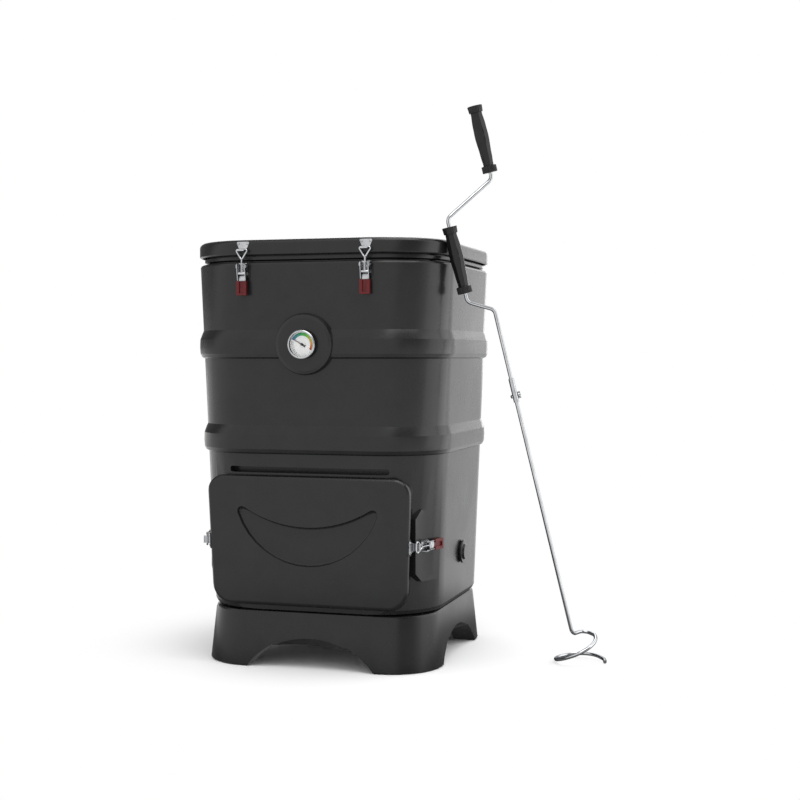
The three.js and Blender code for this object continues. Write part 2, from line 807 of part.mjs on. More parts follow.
// Stand: a rim with four feet, hollow above and below its deck
function standSolid() {
  const outer = weld(squareStack(
    [
      [0, standFootHalf - standFootRound],
      [standFootRound, standFootHalf],
      [standHeight - standEdgeRound, standTopHalf],
      [standHeight - standEdgeRound * 0.3, standTopHalf - standEdgeRound * 0.3],
      [standHeight, standTopHalf - standEdgeRound],
    ],
    standCornerShare,
  ));
  const archRadius = (archHalfWidth ** 2 + archRise ** 2) / (2 * archRise);
  const archCentre = archRise - archRadius;
  const clipHalf = Math.sqrt(archRadius ** 2 - (deckUnderside - archCentre) ** 2);
  const startTurn = Math.atan2(deckUnderside - archCentre, clipHalf);
  const endTurn = Math.atan2(-cutOverrun - archCentre, archHalfWidth);
  const steps = 10;
  const side = Array.from({ length: steps + 1 }, (_, k) => {
    const turn = endTurn + ((startTurn - endTurn) * k) / steps;
    return new THREE.Vector2(archRadius * Math.cos(turn), archCentre + archRadius * Math.sin(turn));
  });
  const outline = [...side, ...side.map((p) => new THREE.Vector2(-p.x, p.y)).reverse()];
  const reach = standFootHalf + cutOverrun;
  const channel = plateAlongY(outline, -reach, reach);
  const bevelRun = (archRise - deckUnderside) / scallopDepth;
  const scallop = () =>
    new THREE.CylinderGeometry(
      archRadius - (archRise - deckUnderside),
      archRadius + bevelRun * cutOverrun,
      scallopDepth + cutOverrun,
      96,
    ).translate(0, -standFootHalf + half(scallopDepth - cutOverrun), archCentre);
  const below = squareStack(
    [[-cutOverrun, standFootHalf - legWall], [deckUnderside, standFootHalf - legWall]],
    standCornerShare,
  );
  const above = squareStack(
    [
      [deckUnderside + deckThickness, standTopHalf - standRimWall],
      [standHeight + cutOverrun, standTopHalf - standRimWall],
    ],
    standCornerShare,
  );
  const ribLength = (standTopHalf - half(standRimWall)) * 2;
  const ribHeight = standHeight - deckUnderside - half(deckThickness);
  const rib = new THREE.BoxGeometry(ribLength, standRib, ribHeight);
  rib.translate(0, 0, standHeight - half(ribHeight));
  const wells = weld(above).subtract(weld(rib)).subtract(weld(rib.clone().rotateZ(quarterTurn)));
  let stand = outer.subtract(weld(below)).subtract(wells);
  for (const quarter of [0, 1, 2, 3]) {
    if (quarter < 2) stand = stand.subtract(weld(channel.clone().rotateZ(quarter * quarterTurn)));
    stand = stand.subtract(weld(scallop().rotateZ(quarter * quarterTurn)));
  }
  return stand;
}

piece(bin, "base_stand", blackPlastic, standSolid());
piece(bin, "body_outer_shell", blackPlastic, bodySkin());
piece(bin, "body_insulation", paleFoam, bodyFoam());
piece(bin, "body_inner_liner", innerPlastic, linerSolid());
piece(bin, "aeration_floor", innerPlastic, grateSolid());
piece(doorGroup, "door_throat", innerPlastic, throatSolid());

// Lid: a crowned cover, foam, a dished inner pan and a seal that lands on the body's rim
const panUnderside = rimTop + seatGap + lidSealHeight + seatGap;
function lidLevels(inset, start) {
  const edge = lidHalf - lidEdgeRound;
  const round = lidEdgeRound - inset * 0.5;
  const outer = lidHalf - inset;
  const top = lidEdgeTop - inset;
  const bulges = inset ? [0.3] : [0.62, 0.3, 0.08];
  return [
    [start, outer],
    [top - round, outer],
    ...bulges.map((share, k) => [top - round * share, outer - round * bulges.at(-1 - k)]),
    [top, outer - round],
    ...lidCrownReachShares.map((share, k) => [top + lidCrownRiseShares[k] * lidCrown, edge * share]),
  ];
}
const panDish = (inset, top) => {
  const level = panUnderside - panDishDepth;
  return squareStack(
    [
      [level + inset, panDishHalf - inset],
      [panUnderside + half(seatGap), panDishHalf + panDishSlope - inset],
      [top, panDishHalf + panDishSlope - inset],
    ],
    linerCornerShare,
  );
};
const lidInside = lidHalf - lidWall - seatGap;
const lidCover = weld(squareStack(
  [[lidBottom, lidHalf - 1.5 * latchPlate], ...lidLevels(0, lidBottom + 1.5 * latchPlate)],
  bodyCornerShare,
)).subtract(weld(squareStack(lidLevels(lidWall, lidBottom - cutOverrun), bodyCornerShare)));
const panFlange = squareStack(
  [[panUnderside, lidInside], [panUnderside + panSheet, lidInside]],
  bodyCornerShare,
);
const lidPan = weld(panFlange)
  .add(weld(panDish(0, panUnderside + half(panSheet))))
  .subtract(weld(panDish(panSheet, panUnderside + panSheet + cutOverrun)));
const foamFloor = panUnderside + panSheet + seatGap;
const lidFoam = weld(squareStack(lidLevels(lidWall + seatGap, foamFloor), bodyCornerShare))
  .add(weld(panDish(panSheet + seatGap, foamFloor + seatGap)));
piece(bin, "lid_cover", blackPlastic, lidCover);
piece(bin, "lid_insulation", paleFoam, lidFoam);
piece(bin, "lid_inner_pan", innerPlastic, lidPan);
const sealRing = (outer, inner, low, high, share) =>
  weld(squareStack([[low, outer], [high, outer]], share)).subtract(
    weld(squareStack([[low - cutOverrun, inner], [high + cutOverrun, inner]], share)),
  );
piece(
  bin,
  "lid_seal",
  blackRubber,
  sealRing(neckHalf - half(seatGap), neckHalf - lidSealWidth, rimTop + seatGap, panUnderside - seatGap,
    bodyCornerShare),
);

// Door: skin with a crescent hand recess, foam plug, inner sheet and a flat seal
// Two arcs and the small arcs that join their ends, all drawn outwards by one amount
function crescentOutline(grow) {
  const [low, high, end] = [crescentLowerRadius, crescentUpperRadius, crescentEndRound];
  const [lowAt, highAt] = [crescentLowerCentre, crescentUpperCentre];
  const endZ = ((high + end) ** 2 - (low - end) ** 2 - highAt ** 2 + lowAt ** 2) / (2 * (lowAt - highAt));
  const endX = Math.sqrt((low - end) ** 2 - (endZ - lowAt) ** 2);
  const lowTurn = Math.atan2(endZ - lowAt, endX);
  const highTurn = Math.atan2(endZ - highAt, endX);
  const arc = (x, z, radius, from, to, steps) =>
    Array.from({ length: steps }, (_, k) => {
      const turn = from + ((to - from) * k) / steps;
      return new THREE.Vector2(x + radius * Math.cos(turn), z + radius * Math.sin(turn));
    });
  const halfTurn = Math.PI;
  return [
    ...arc(0, lowAt, low + grow, -halfTurn - lowTurn, lowTurn, crescentSteps),
    ...arc(endX, endZ, end + grow, lowTurn, halfTurn + highTurn, crescentEndSteps),
    ...arc(0, highAt, high - grow, highTurn, -halfTurn - highTurn, crescentSteps),
    ...arc(-endX, endZ, end + grow, -highTurn, halfTurn - lowTurn, crescentEndSteps),
  ];
}

const flattenXZ = (p) => new THREE.Vector2(p.x, p.z);
function crescentCut() {
  const ringAt = (grow, y) => crescentOutline(grow).map((p) => new THREE.Vector3(p.x, y, p.y));
  return loft(
    [
      ringAt(-crescentBevel, -doorProud + crescentDepth),
      ringAt(-crescentBevel * 0.35, -doorProud + crescentDepth * 0.75),
      ringAt(0, -doorProud),
      ringAt(crescentBevel * 0.2, -doorProud - crescentDepth),
    ],
    { flatten: flattenXZ },
  );
}

function doorSkin() {
  const ringAt = (inset, y) => doorOutline(inset).map((p) => new THREE.Vector3(p.x, y, p.y));
  const round = doorEdgeRound;
  const back = -doorProud + doorThickness;
  const slab = loft([
    ringAt(round, -doorProud),
    ringAt(round * 0.5, -doorProud + round * 0.14),
    ringAt(round * 0.14, -doorProud + round * 0.5),
    ringAt(0, -doorProud + round),
    ringAt(0, back),
  ], { flatten: flattenXZ });
  let skin = weld(slab);
  const toDoor = doorGroup.matrix.clone().invert();
  for (const group of [doorLatchLeft, doorLatchRight]) {
    const outline = filleted([
      [-strikePadHalf, strikePadLow, latchPadRound],
      [strikePadHalf, strikePadLow, latchPadRound],
      [strikePadHalf, strikePadHigh, latchPadRound],
      [-strikePadHalf, strikePadHigh, latchPadRound],
    ], 2);
    const pad = placedBy(group, plateAlongY(outline, seatGap, strikePadDepth)).applyMatrix4(toDoor);
    const front = placedBy(group, plateAlongY(outline, -strikePadDepth, seatGap)).applyMatrix4(toDoor);
    const inFront = new THREE.BoxGeometry(doorTopHalf * 4, doorThickness, doorHeight);
    inFront.translate(0, -doorProud + half(doorThickness), 0);
    skin = skin.add(weld(pad).intersect(weld(inFront))).subtract(weld(front));
  }
  return skin.subtract(weld(crescentCut()));
}

const doorBack = -doorProud + doorThickness;
const plugOutline = filleted([
  [-throatHalf + throatWall + doorPlugGap, -throatBelow + throatWall + doorPlugGap, doorPlugCorner],
  [throatHalf - throatWall - doorPlugGap, -throatBelow + throatWall + doorPlugGap, doorPlugCorner],
  [throatHalf - throatWall - doorPlugGap, throatAbove - throatWall - doorPlugGap, doorPlugCorner],
  [-throatHalf + throatWall + doorPlugGap, throatAbove - throatWall - doorPlugGap, doorPlugCorner],
]);
const doorFoamBack = doorBack + seatGap + doorPlugDepth;
piece(doorGroup, "door_panel", blackPlastic, doorSkin());
piece(doorGroup, "door_insulation", paleFoam, plateAlongY(plugOutline, doorBack + seatGap, doorFoamBack));
piece(
  doorGroup,
  "door_inner_plate",
  innerPlastic,
  plateAlongY(plugOutline, doorFoamBack + seatGap, doorFoamBack + seatGap + doorInnerSheet),
);
piece(
  doorGroup,
  "door_seal",
  blackRubber,
  weld(plateAlongY(throatOutline(doorSealWidth + seatGap), doorBack + seatGap, doorBack + seatGap + doorSealSquash))
    .subtract(weld(plateAlongY(throatOutline(seatGap), doorBack - cutOverrun, doorBack + cutOverrun))),
);

// Toggle latches
const atPivot = (y, z) => new THREE.Vector3(0, y, z);

// A low rivet head on a plate that faces -y
function rivetHeadAt(x, face, z, height) {
  const sink = height * 0.2;
  const head = new THREE.CylinderGeometry(rivetRadius, rivetRadius * 0.7, height + sink, rivetSides);
  return weld(head.translate(x, face - half(height - sink), z));
}

function latchBase() {
  const [inside, outside] = [latchPlateHalf - latchPlate, latchPlateHalf];
  const plate = new THREE.BoxGeometry(outside * 2, latchPlate, latchPlateLow + latchPlateHigh);
  plate.translate(0, -half(latchPlate), half(latchPlateHigh - latchPlateLow));
  const earOut = -pivotOut - earTop;
  const ear = [
    [-half(latchPlate), -earHalfLength - earTop], [earOut, -half(earHalfLength)], [earOut, half(earHalfLength)],
    [-half(latchPlate), latchPlateHigh],
  ];
  let base = weld(plate);
  for (const side of [-1, 1]) {
    const [left, right] = side < 0 ? [-outside, -inside] : [inside, outside];
    base = base.add(weld(prismAlongX(ear, left, right)));
    const pin = new THREE.CylinderGeometry(pivotPinRadius, pivotPinRadius, leverSheet + latchPlate * 2, rodSides);
    pin.rotateZ(quarterTurn).translate(side * (outside - half(leverSheet)), -pivotOut, 0);
    base = base.add(weld(pin));
    const rivetHeight = -half(latchPlateLow) + side * rivetInset;
    base = base.add(rivetHeadAt(0, -latchPlate, rivetHeight, baseRivetHead));
  }
  return base;
}

function latchLever() {
  const [inside, outside] = [leverWallHalf - leverSheet, leverWallHalf];
  const end = -leverLength;
  const brightEnd = -leverBright;
  const knee = -linkThrow - leverKnee;
  const wall = [
    [-leverFloorOut, -linkThrow], [-leverFloorOut, knee], [-leverEndOut, brightEnd], [-leverWallEnd, brightEnd],
    [-leverWallTop * 0.85, -linkThrow], [-leverWallTop, -half(leverHeadHigh)], [-leverWallTop, leverHeadHigh],
    [-pivotOut * 0.6, leverHeadHigh],
  ];
  const inner = [[-leverFloorOut, -linkThrow], [-leverFloorOut, knee], [-leverEndOut, brightEnd], [-leverEndOut, end]];
  const web = [...inner, ...inner.map(([y, z]) => [y - leverSheet, z]).reverse()];
  let lever = weld(prismAlongX(web, -outside, outside));
  const hole = new THREE.CylinderGeometry(
    pivotPinRadius + pivotPinFit, pivotPinRadius + pivotPinFit, leverWallHalf * 4, rodSides,
  );
  hole.rotateZ(quarterTurn).translate(0, -pivotOut, 0);
  for (const side of [-1, 1]) {
    const [left, right] = side < 0 ? [-outside, -inside] : [inside, outside];
    lever = lever.add(weld(prismAlongX(wall, left, right)));
  }
  return lever.subtract(weld(hole));
}

function latchGrip() {
  const top = -leverBright - seatGap;
  const low = -leverLength - seatGap - gripSheet;
  const floorIn = leverEndOut - seatGap - gripSheet;
  const block = filleted([
    [-gripHalf, low, gripSheet], [gripHalf, low, gripSheet], [gripHalf, top, seatGap], [-gripHalf, top, seatGap],
  ], 3);
  const slotTop = -leverBright + cutOverrun;
  const slot = new THREE.BoxGeometry(gripSlotHalf * 2, cutOverrun, slotTop - low - gripSlotHalf);
  slot.translate(0, -gripSlotFloor - half(cutOverrun), half(slotTop + low + gripSlotHalf));
  const socket = new THREE.BoxGeometry(
    (leverWallHalf + seatGap) * 2, leverSheet + seatGap * 2, leverLength - leverBright + cutOverrun,
  );
  const socketLow = -leverLength - seatGap;
  socket.translate(0, -leverEndOut - half(leverSheet), socketLow + half(leverLength - leverBright + cutOverrun));
  return weld(plateAlongY(block, -gripOut, -floorIn)).subtract(weld(slot)).subtract(weld(socket));
}

function latchBail() {
  const corners = [[-bailHalf, hookReach], [bailHalf, hookReach], [0, hookReach - bailHeight]];
  const triangle = corners.map(([x, z]) => new THREE.Vector3(x, -pivotOut, z));
  const bend = wireRadius + bailBend;
  const loop = sweep(bentRun(triangle, bend, 3, true), wireRadius, wireSides, true);
  const apex = triangle[2].clone().add(atPivot(0, bend));
  const barrelHalf = leverWallHalf - leverSheet - seatGap;
  const barrel = new THREE.CylinderGeometry(barrelRadius, barrelRadius, barrelHalf * 2, rodSides);
  barrel.rotateZ(quarterTurn).translate(0, -pivotOut, -linkThrow);
  return joined(loop, rodBetween(apex, atPivot(-pivotOut, -linkThrow), wireRadius, wireSides), barrel);
}

function latchStrike() {
  const outline = filleted([
    [-strikeBottomHalf, strikeLow, strikePlate],
    [strikeBottomHalf, strikeLow, strikePlate],
    [strikeTopHalf, strikeHigh, rivetRadius],
    [-strikeTopHalf, strikeHigh, rivetRadius],
  ], 3);
  const floorTop = hookReach - wireRadius - seatGap;
  const lipIn = -pivotOut - hookLipGap;
  const lipOut = lipIn - hookFloor;
  const lipTop = floorTop + hookLipHigh;
  const hook = [
    [0, strikeLow + strikePlate], [0, floorTop - hookFloor], [lipOut, floorTop - hookFloor], [lipOut, lipTop],
    [lipIn, lipTop], [lipIn, floorTop], [-strikePlate, floorTop], [-strikePlate, strikeLow + strikePlate],
  ];
  let strike = weld(plateAlongY(outline, -strikePlate, 0)).add(
    weld(prismAlongX(hook, -strikeHookHalf, strikeHookHalf)),
  );
  for (const side of [-1, 1]) {
    strike = strike.add(rivetHeadAt(side * rivetPlace, -strikePlate, strikeHigh - rivetInset, rivetHead));
  }
  return strike;
}

for (const { name, group } of latchPlaces) {
  piece(group, `${name}_base`, stainless, latchBase());
  piece(group, `${name}_lever`, stainless, latchLever());
  piece(group, `${name}_grip`, redVinyl, latchGrip());
  piece(group, `${name}_bail`, stainless, latchBail());
  piece(group, `${name}_strike`, stainless, latchStrike());
}

// Thermometer: heights are measured outwards from the boss face
const caseInside = caseRadius - caseWall;
const caseFront = seatGap + caseDepth;
const lensBack = caseFront - bezelLip - seatGap - lensThickness;
const dialBack = seatGap + caseBack + seatGap;
const thermometer = new THREE.Group();
thermometer.position.set(0, -bossProud, 0);
bossGroup.add(thermometer);
piece(thermometer, "thermometer_case", stainless, turnedOutwards(
  [
    [spindleRadius + seatGap, seatGap + caseBack], [spindleRadius + seatGap, seatGap * 2 + half(caseBack)],
    [0, seatGap * 2 + half(caseBack)], [0, seatGap], [caseRadius - caseWall * 0.5, seatGap],
    [caseRadius - caseWall * 0.5, half(caseDepth)], [caseRadius, half(caseDepth) + seatGap],
    [caseRadius, caseFront - bezelLip], [caseRadius - bezelLip, caseFront],
    [caseInside - bezelLip, caseFront], [caseInside - bezelLip, caseFront - bezelLip],
    [caseInside, caseFront - bezelLip], [caseInside, seatGap + caseBack], [spindleRadius + seatGap, seatGap + caseBack],
  ],
  bossSteps,
));
const dialRadius = caseInside - seatGap;
piece(thermometer, "thermometer_dial", dialWhite, turnedOutwards(
  [
    [spindleRadius + seatGap, dialBack], [dialRadius, dialBack], [dialRadius, dialBack + dialThickness],
    [spindleRadius + seatGap, dialBack + dialThickness], [spindleRadius + seatGap, dialBack],
  ],
  bossSteps,
));
piece(thermometer, "thermometer_lens", lensGlass, turnedOutwards(
  [
    [0, lensBack], [dialRadius, lensBack], [dialRadius, lensBack + lensThickness],
    [0, lensBack + lensThickness],
  ],
  bossSteps,
));
const pointerOut = dialBack + dialThickness + pointerLift;
const needle = plateAlongY(
  [
    [-pointerTailHalfWidth, -pointerTail], [pointerTailHalfWidth, -pointerTail],
    [pointerHalfWidth, 0], [pointerHalfWidth * 0.3, pointerLength],
    [-pointerHalfWidth * 0.3, pointerLength], [-pointerHalfWidth, 0],
  ].map(([x, z]) => new THREE.Vector2(x, z)),
  -pointerOut - pointerThickness,
  -pointerOut,
).rotateY(-pointerTurn);
piece(thermometer, "thermometer_pointer", pointerBlack, joined(
  needle,
  turnedOutwards(
    [
      [0, seatGap * 3 + half(caseBack)], [spindleRadius, seatGap * 3 + half(caseBack)],
      [spindleRadius, pointerOut - half(pointerLift)], [pointerHubRadius, pointerOut - half(pointerLift)],
      [pointerHubRadius, pointerOut + pointerThickness * 1.5], [0, pointerOut + pointerThickness * 1.5],
    ],
    rodSides * 2,
  ),
));
const linerFaceIn = -bossProud - wallDepth - linerWall;
piece(thermometer, "thermometer_stem", stainless, turnedOutwards(
  [
    [0, linerFaceIn - stemReach], [stemRadius * 0.5, linerFaceIn - stemReach],
    [stemRadius, linerFaceIn - stemReach + stemRadius], [stemRadius, 0], [0, 0],
  ],
  hingeSides,
));
const nutBack = linerFaceIn - seatGap - nutThickness;
const nutBlock = turnedOutwards(
  [[0, nutBack], [nutRadius, nutBack], [nutRadius, nutBack + nutThickness], [0, nutBack + nutThickness]],
  6,
);
const nutBore = turnedOutwards(
  [
    [0, nutBack - nutThickness], [stemRadius + seatGap, nutBack - nutThickness],
    [stemRadius + seatGap, nutBack + nutThickness * 2], [0, nutBack + nutThickness * 2],
  ],
  hingeSides,
);
piece(thermometer, "thermometer_nut", stainless, weld(nutBlock).subtract(weld(nutBore)));

// Side plug: heights are measured outwards from the body's face
const plugSeat = seatGap + plugSeal + seatGap;
const plugFront = plugSeat + plugFlange;
piece(plugGroup, "side_plug", blackPlastic, turnedOutwards(
  [
    [0, -wallDepth - linerWall], [plugShankRadius, -wallDepth - linerWall], [plugShankRadius, plugSeat],
    [plugFlangeRadius, plugSeat], [plugFlangeRadius, plugFront - plugRound],
    [plugFlangeRadius - plugRound, plugFront], [plugKnobRadius + plugRound, plugFront],
    [plugKnobRadius, plugFront + plugKnob - plugRound], [plugKnobRadius - plugRound, plugFront + plugKnob],
    [0, plugFront + plugKnob],
  ],
  bossSteps,
));
const plugSealIn = plugShankRadius + plugHoleGap;
piece(plugGroup, "side_plug_seal", blackRubber, turnedOutwards(
  [
    [plugSealIn, seatGap], [plugSealIn + plugSealWidth, seatGap],
    [plugSealIn + plugSealWidth, seatGap + plugSeal], [plugSealIn, seatGap + plugSeal], [plugSealIn, seatGap],
  ],
  bossSteps,
));

// Rear hinges: outer knuckles on the body leaf, one long knuckle on the lid leaf, a headed pin
function hingeBarrel(left, right, radius) {
  const barrel = new THREE.CylinderGeometry(radius, radius, right - left, hingeSides);
  return barrel.rotateZ(quarterTurn).translate(half(left + right), hingeAxisDepth, hingeAxisHeight);
}
const hingeBore = () => weld(hingeBarrel(-hingeHalfWidth * 2, hingeHalfWidth * 2, hingePinRadius + half(seatGap)));
const leafBack = lidHalf + seatGap;
function hingeRivets(heights) {
  const heads = heights.flatMap((z) =>
    [-1, 1].map((side) => rivetHeadAt(side * hingeRivetPlace, -leafBack - hingeSheet, z, rivetHead)),
  );
  return heads.reduce((sum, next) => sum.add(next)).rotate([0, 0, 180]);
}
function bodyLeaf() {
  const low = hingeLeafTop - hingeBodyLeaf;
  const plate = new THREE.BoxGeometry(hingeHalfWidth * 2, hingeSheet, hingeBodyLeaf + hingeBarrelRadius);
  plate.translate(0, leafBack + half(hingeSheet), low + half(hingeBodyLeaf + hingeBarrelRadius));
  const notchHalf = hingeKnuckleHalf + seatGap;
  const notch = new THREE.BoxGeometry(notchHalf * 2, hingeBarrelRadius * 4, hingeBarrelRadius * 4);
  notch.translate(0, hingeAxisDepth, hingeAxisHeight + hingeBarrelRadius - seatGap);
  return weld(plate)
    .add(weld(hingeBarrel(-hingeHalfWidth, -notchHalf, hingeBarrelRadius)))
    .add(weld(hingeBarrel(notchHalf, hingeHalfWidth, hingeBarrelRadius)))
    .subtract(weld(notch))
    .subtract(hingeBore())
    .add(hingeRivets([low + rivetInset * 2, low + hingeBodyLeaf - rivetInset * 2.4]));
}
function lidLeaf() {
  const plate = new THREE.BoxGeometry(hingeHalfWidth * 2, hingeSheet, hingeLidLeaf);
  const low = hingeAxisHeight + hingeBarrelRadius + seatGap * 2;
  plate.translate(0, leafBack + half(hingeSheet), low + half(hingeLidLeaf));
  const neck = new THREE.BoxGeometry(hingeKnuckleHalf * 2, hingeSheet, hingeBarrelRadius * 2);
  neck.translate(0, leafBack + half(hingeSheet), hingeAxisHeight + hingeBarrelRadius);
  return weld(plate)
    .add(weld(neck))
    .add(weld(hingeBarrel(-hingeKnuckleHalf, hingeKnuckleHalf, hingeBarrelRadius)))
    .subtract(hingeBore())
    .add(hingeRivets([low + half(hingeLidLeaf)]));
}
function hingePin() {
  const end = hingeHalfWidth + seatGap;
  return weld(hingeBarrel(-end, end, hingePinRadius))
    .add(weld(hingeBarrel(-end - hingePinHeadLong, -end, hingePinHead)))
    .add(weld(hingeBarrel(end, end + hingePinHeadLong, hingePinHead)));
}
for (const [side, name] of [[-1, "hinge_left"], [1, "hinge_right"]]) {
  const group = new THREE.Group();
  group.position.set(side * hingePlace, 0, 0);
  bin.add(group);
  piece(group, `${name}_body_leaf`, stainless, bodyLeaf());
  piece(group, `${name}_lid_leaf`, stainless, lidLeaf());
  piece(group, `${name}_pin`, stainless, hingePin());
}

// Aerator tool, built upright in its own frame and then leant against the lid
const tool = new THREE.Group();
const inPlane = (x, z) => new THREE.Vector3(x, 0, z);

function augerPath() {
  const around = (turn, radius, z) => new THREE.Vector3(radius * Math.cos(turn), radius * Math.sin(turn), z);
  const heightAt = (turn) => Math.max(augerStart - (augerPitch * (augerStartTurn - turn)) / fullTurn, augerEnd);
  const helix = Array.from({ length: augerSteps + 1 }, (_, k) => {
    const share = k / augerSteps;
    const turn = augerStartTurn - fullTurn * augerTurns * share;
    return around(turn, augerRadius + augerFlare * share ** augerFlarePower, heightAt(turn));
  });
  const entry = bentRun(
    [inPlane(0, shaftSplit), inPlane(0, -augerArmDrop), helix[0], helix[3]],
    augerBend,
  );
  return [...entry.slice(0, -1), ...helix.slice(3)];
}

const crankPath = bentRun(
  [
    inPlane(0, shaftSplit + seatGap * 2), inPlane(0, shaftTop + rodBend * 2), inPlane(-lowerThrow, throwLow),
    inPlane(-lowerThrow, throwHigh), inPlane(upperThrow, throwHighEnd),
    inPlane(upperThrow, upperGripStart + gripLength - gripEndWall),
  ],
  rodBend,
);
const boltAcross = (radius, from, to, sides) =>
  rodBetween(new THREE.Vector3(from, 0, boltHeight), new THREE.Vector3(to, 0, boltHeight), radius, sides);
const boltHole = () => weld(boltAcross(boltRadius + seatGap, -boltEnd * 2, boltEnd * 2, rodSides));
const augerSolid = weld(sweep(augerPath(), rodRadius, rodSides)).subtract(boltHole());
piece(tool, "aerator_auger", stainless, augerSolid);
piece(tool, "aerator_crank", stainless, sweep(crankPath, rodRadius, rodSides));

const sleeveInner = rodRadius + seatGap;
const sleeveOuter = sleeveInner + sleeveWall;
piece(
  tool,
  "aerator_sleeve",
  stainless,
  weld(turnedShape(
    [
      [sleeveInner, sleeveLow], [sleeveOuter, sleeveLow], [sleeveOuter, sleeveHigh],
      [sleeveInner, sleeveHigh], [sleeveInner, sleeveLow],
    ],
    hingeSides,
  )).subtract(boltHole()),
);
const headSeat = sleeveOuter + seatGap;
piece(tool, "aerator_bolt", stainless, joined(
  boltAcross(boltRadius, -headSeat - boltHead, boltEnd, rodSides),
  boltAcross(boltHeadRadius, -headSeat - boltHead, -headSeat, 6),
));
const wing = new THREE.BoxGeometry(wingReach, wingThickness, wingSpan * 2);
wing.translate(headSeat + half(wingNutHubLong) + half(wingReach) - wingThickness, 0, boltHeight);
piece(
  tool,
  "aerator_wing_nut",
  stainless,
  joined(boltAcross(wingNutHub, headSeat, headSeat + wingNutHubLong, rodSides * 2), wing)
    .subtract(weld(boltAcross(boltRadius + seatGap, 0, boltEnd * 2, rodSides)))
    .subtract(weld(new THREE.BoxGeometry(wingReach * 2, wingThickness * 2, wingNutHub * 1.6)
      .translate(headSeat + wingNutHubLong + wingReach, 0, boltHeight))),
);

function gripShape(start, closedTop) {
  const end = start + gripLength;
  const bore = rodRadius + gripFit;
  const body = gripLength - 2 * gripCollar;
  const outside = [
    [gripCollarRadius - gripFit, start], [gripCollarRadius, start + gripCollar * 0.5],
    [gripCollarRadius - gripFit, start + gripCollar], [gripWaistRadius, start + gripCollar * 1.2],
    [gripWaistRadius * 1.15, start + gripCollar + body * 0.2], [gripBulgeRadius, start + gripCollar + body * 0.55],
    [gripBulgeRadius * 0.95, start + gripCollar + body * 0.75], [gripWaistRadius * 1.1, end - gripCollar * 1.2],
    [gripCollarRadius - gripFit, end - gripCollar], [gripCollarRadius, end - gripCollar * 0.5],
    [gripCollarRadius - gripFit, end],
  ];
  const inner = end - gripEndWall + seatGap;
  const inside = closedTop
    ? [[0, end], [0, inner], [bore, inner], [bore, start], outside[0]]
    : [[bore, end], [bore, start], outside[0]];
  return turnedShape([...outside, ...inside], gripSides);
}
piece(tool, "aerator_lower_grip", gripBlack, moved(gripShape(lowerGripStart, false), -lowerThrow, 0, 0));
piece(tool, "aerator_upper_grip", gripBlack, moved(gripShape(upperGripStart, true), upperThrow, 0, 0));

// Lean: the auger's lowest point stands on the ground and the lower grip touches the lid's edge
const towardsFoot = new THREE.Vector3(Math.cos(leanTurn), Math.sin(leanTurn), 0);
const upShaft = new THREE.Vector3(0, 0, Math.cos(leanTilt)).addScaledVector(towardsFoot, -Math.sin(leanTilt));
const sideways = new THREE.Vector3(0, 0, Math.sin(leanTilt)).addScaledVector(towardsFoot, Math.cos(leanTilt));
tool.setRotationFromMatrix(new THREE.Matrix4().makeBasis(sideways, upShaft.clone().cross(sideways), upShaft));
const leantAuger = geometryOf(augerSolid).applyQuaternion(tool.quaternion);
leantAuger.computeBoundingBox();
const toolHeight = -leantAuger.boundingBox.min.z;
const touchHeight = lidEdgeTop - lidEdgeRound;
const lidCornerCentre = lidHalf * (1 - bodyCornerShare);
const touchReach = lidHalf * bodyCornerShare + gripBulgeRadius + leanGap;
const touch = new THREE.Vector3(
  lidCornerCentre + touchReach * Math.cos(leanContactTurn),
  -lidCornerCentre + touchReach * Math.sin(leanContactTurn),
  touchHeight,
);
const shaftReach = (touchHeight - toolHeight + lowerThrow * Math.sin(leanTilt)) / Math.cos(leanTilt);
tool.position.copy(touch).addScaledVector(upShaft, -shaftReach).addScaledVector(sideways, lowerThrow);
bin.add(tool);

// The whole set stands with its box centred on the origin
bin.updateMatrixWorld(true);
const box = new THREE.Box3().setFromObject(bin, true);
const middle = box.getCenter(new THREE.Vector3());
bin.position.set(-middle.x, -middle.y, 0);

export default bin;
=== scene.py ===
# %% [markdown]
# # An insulated compost bin, dressed for its portrait
#
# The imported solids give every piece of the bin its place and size. This lesson gives them the
# finish that the real ones have: moulded black plastic, pressed steel, dipped vinyl, drawn wire
# and glass. Nothing is moved or resized here, so each piece stays where the solids say.

# %% Load the solids
import json
import math

import bpy
from mathutils import Matrix, Vector


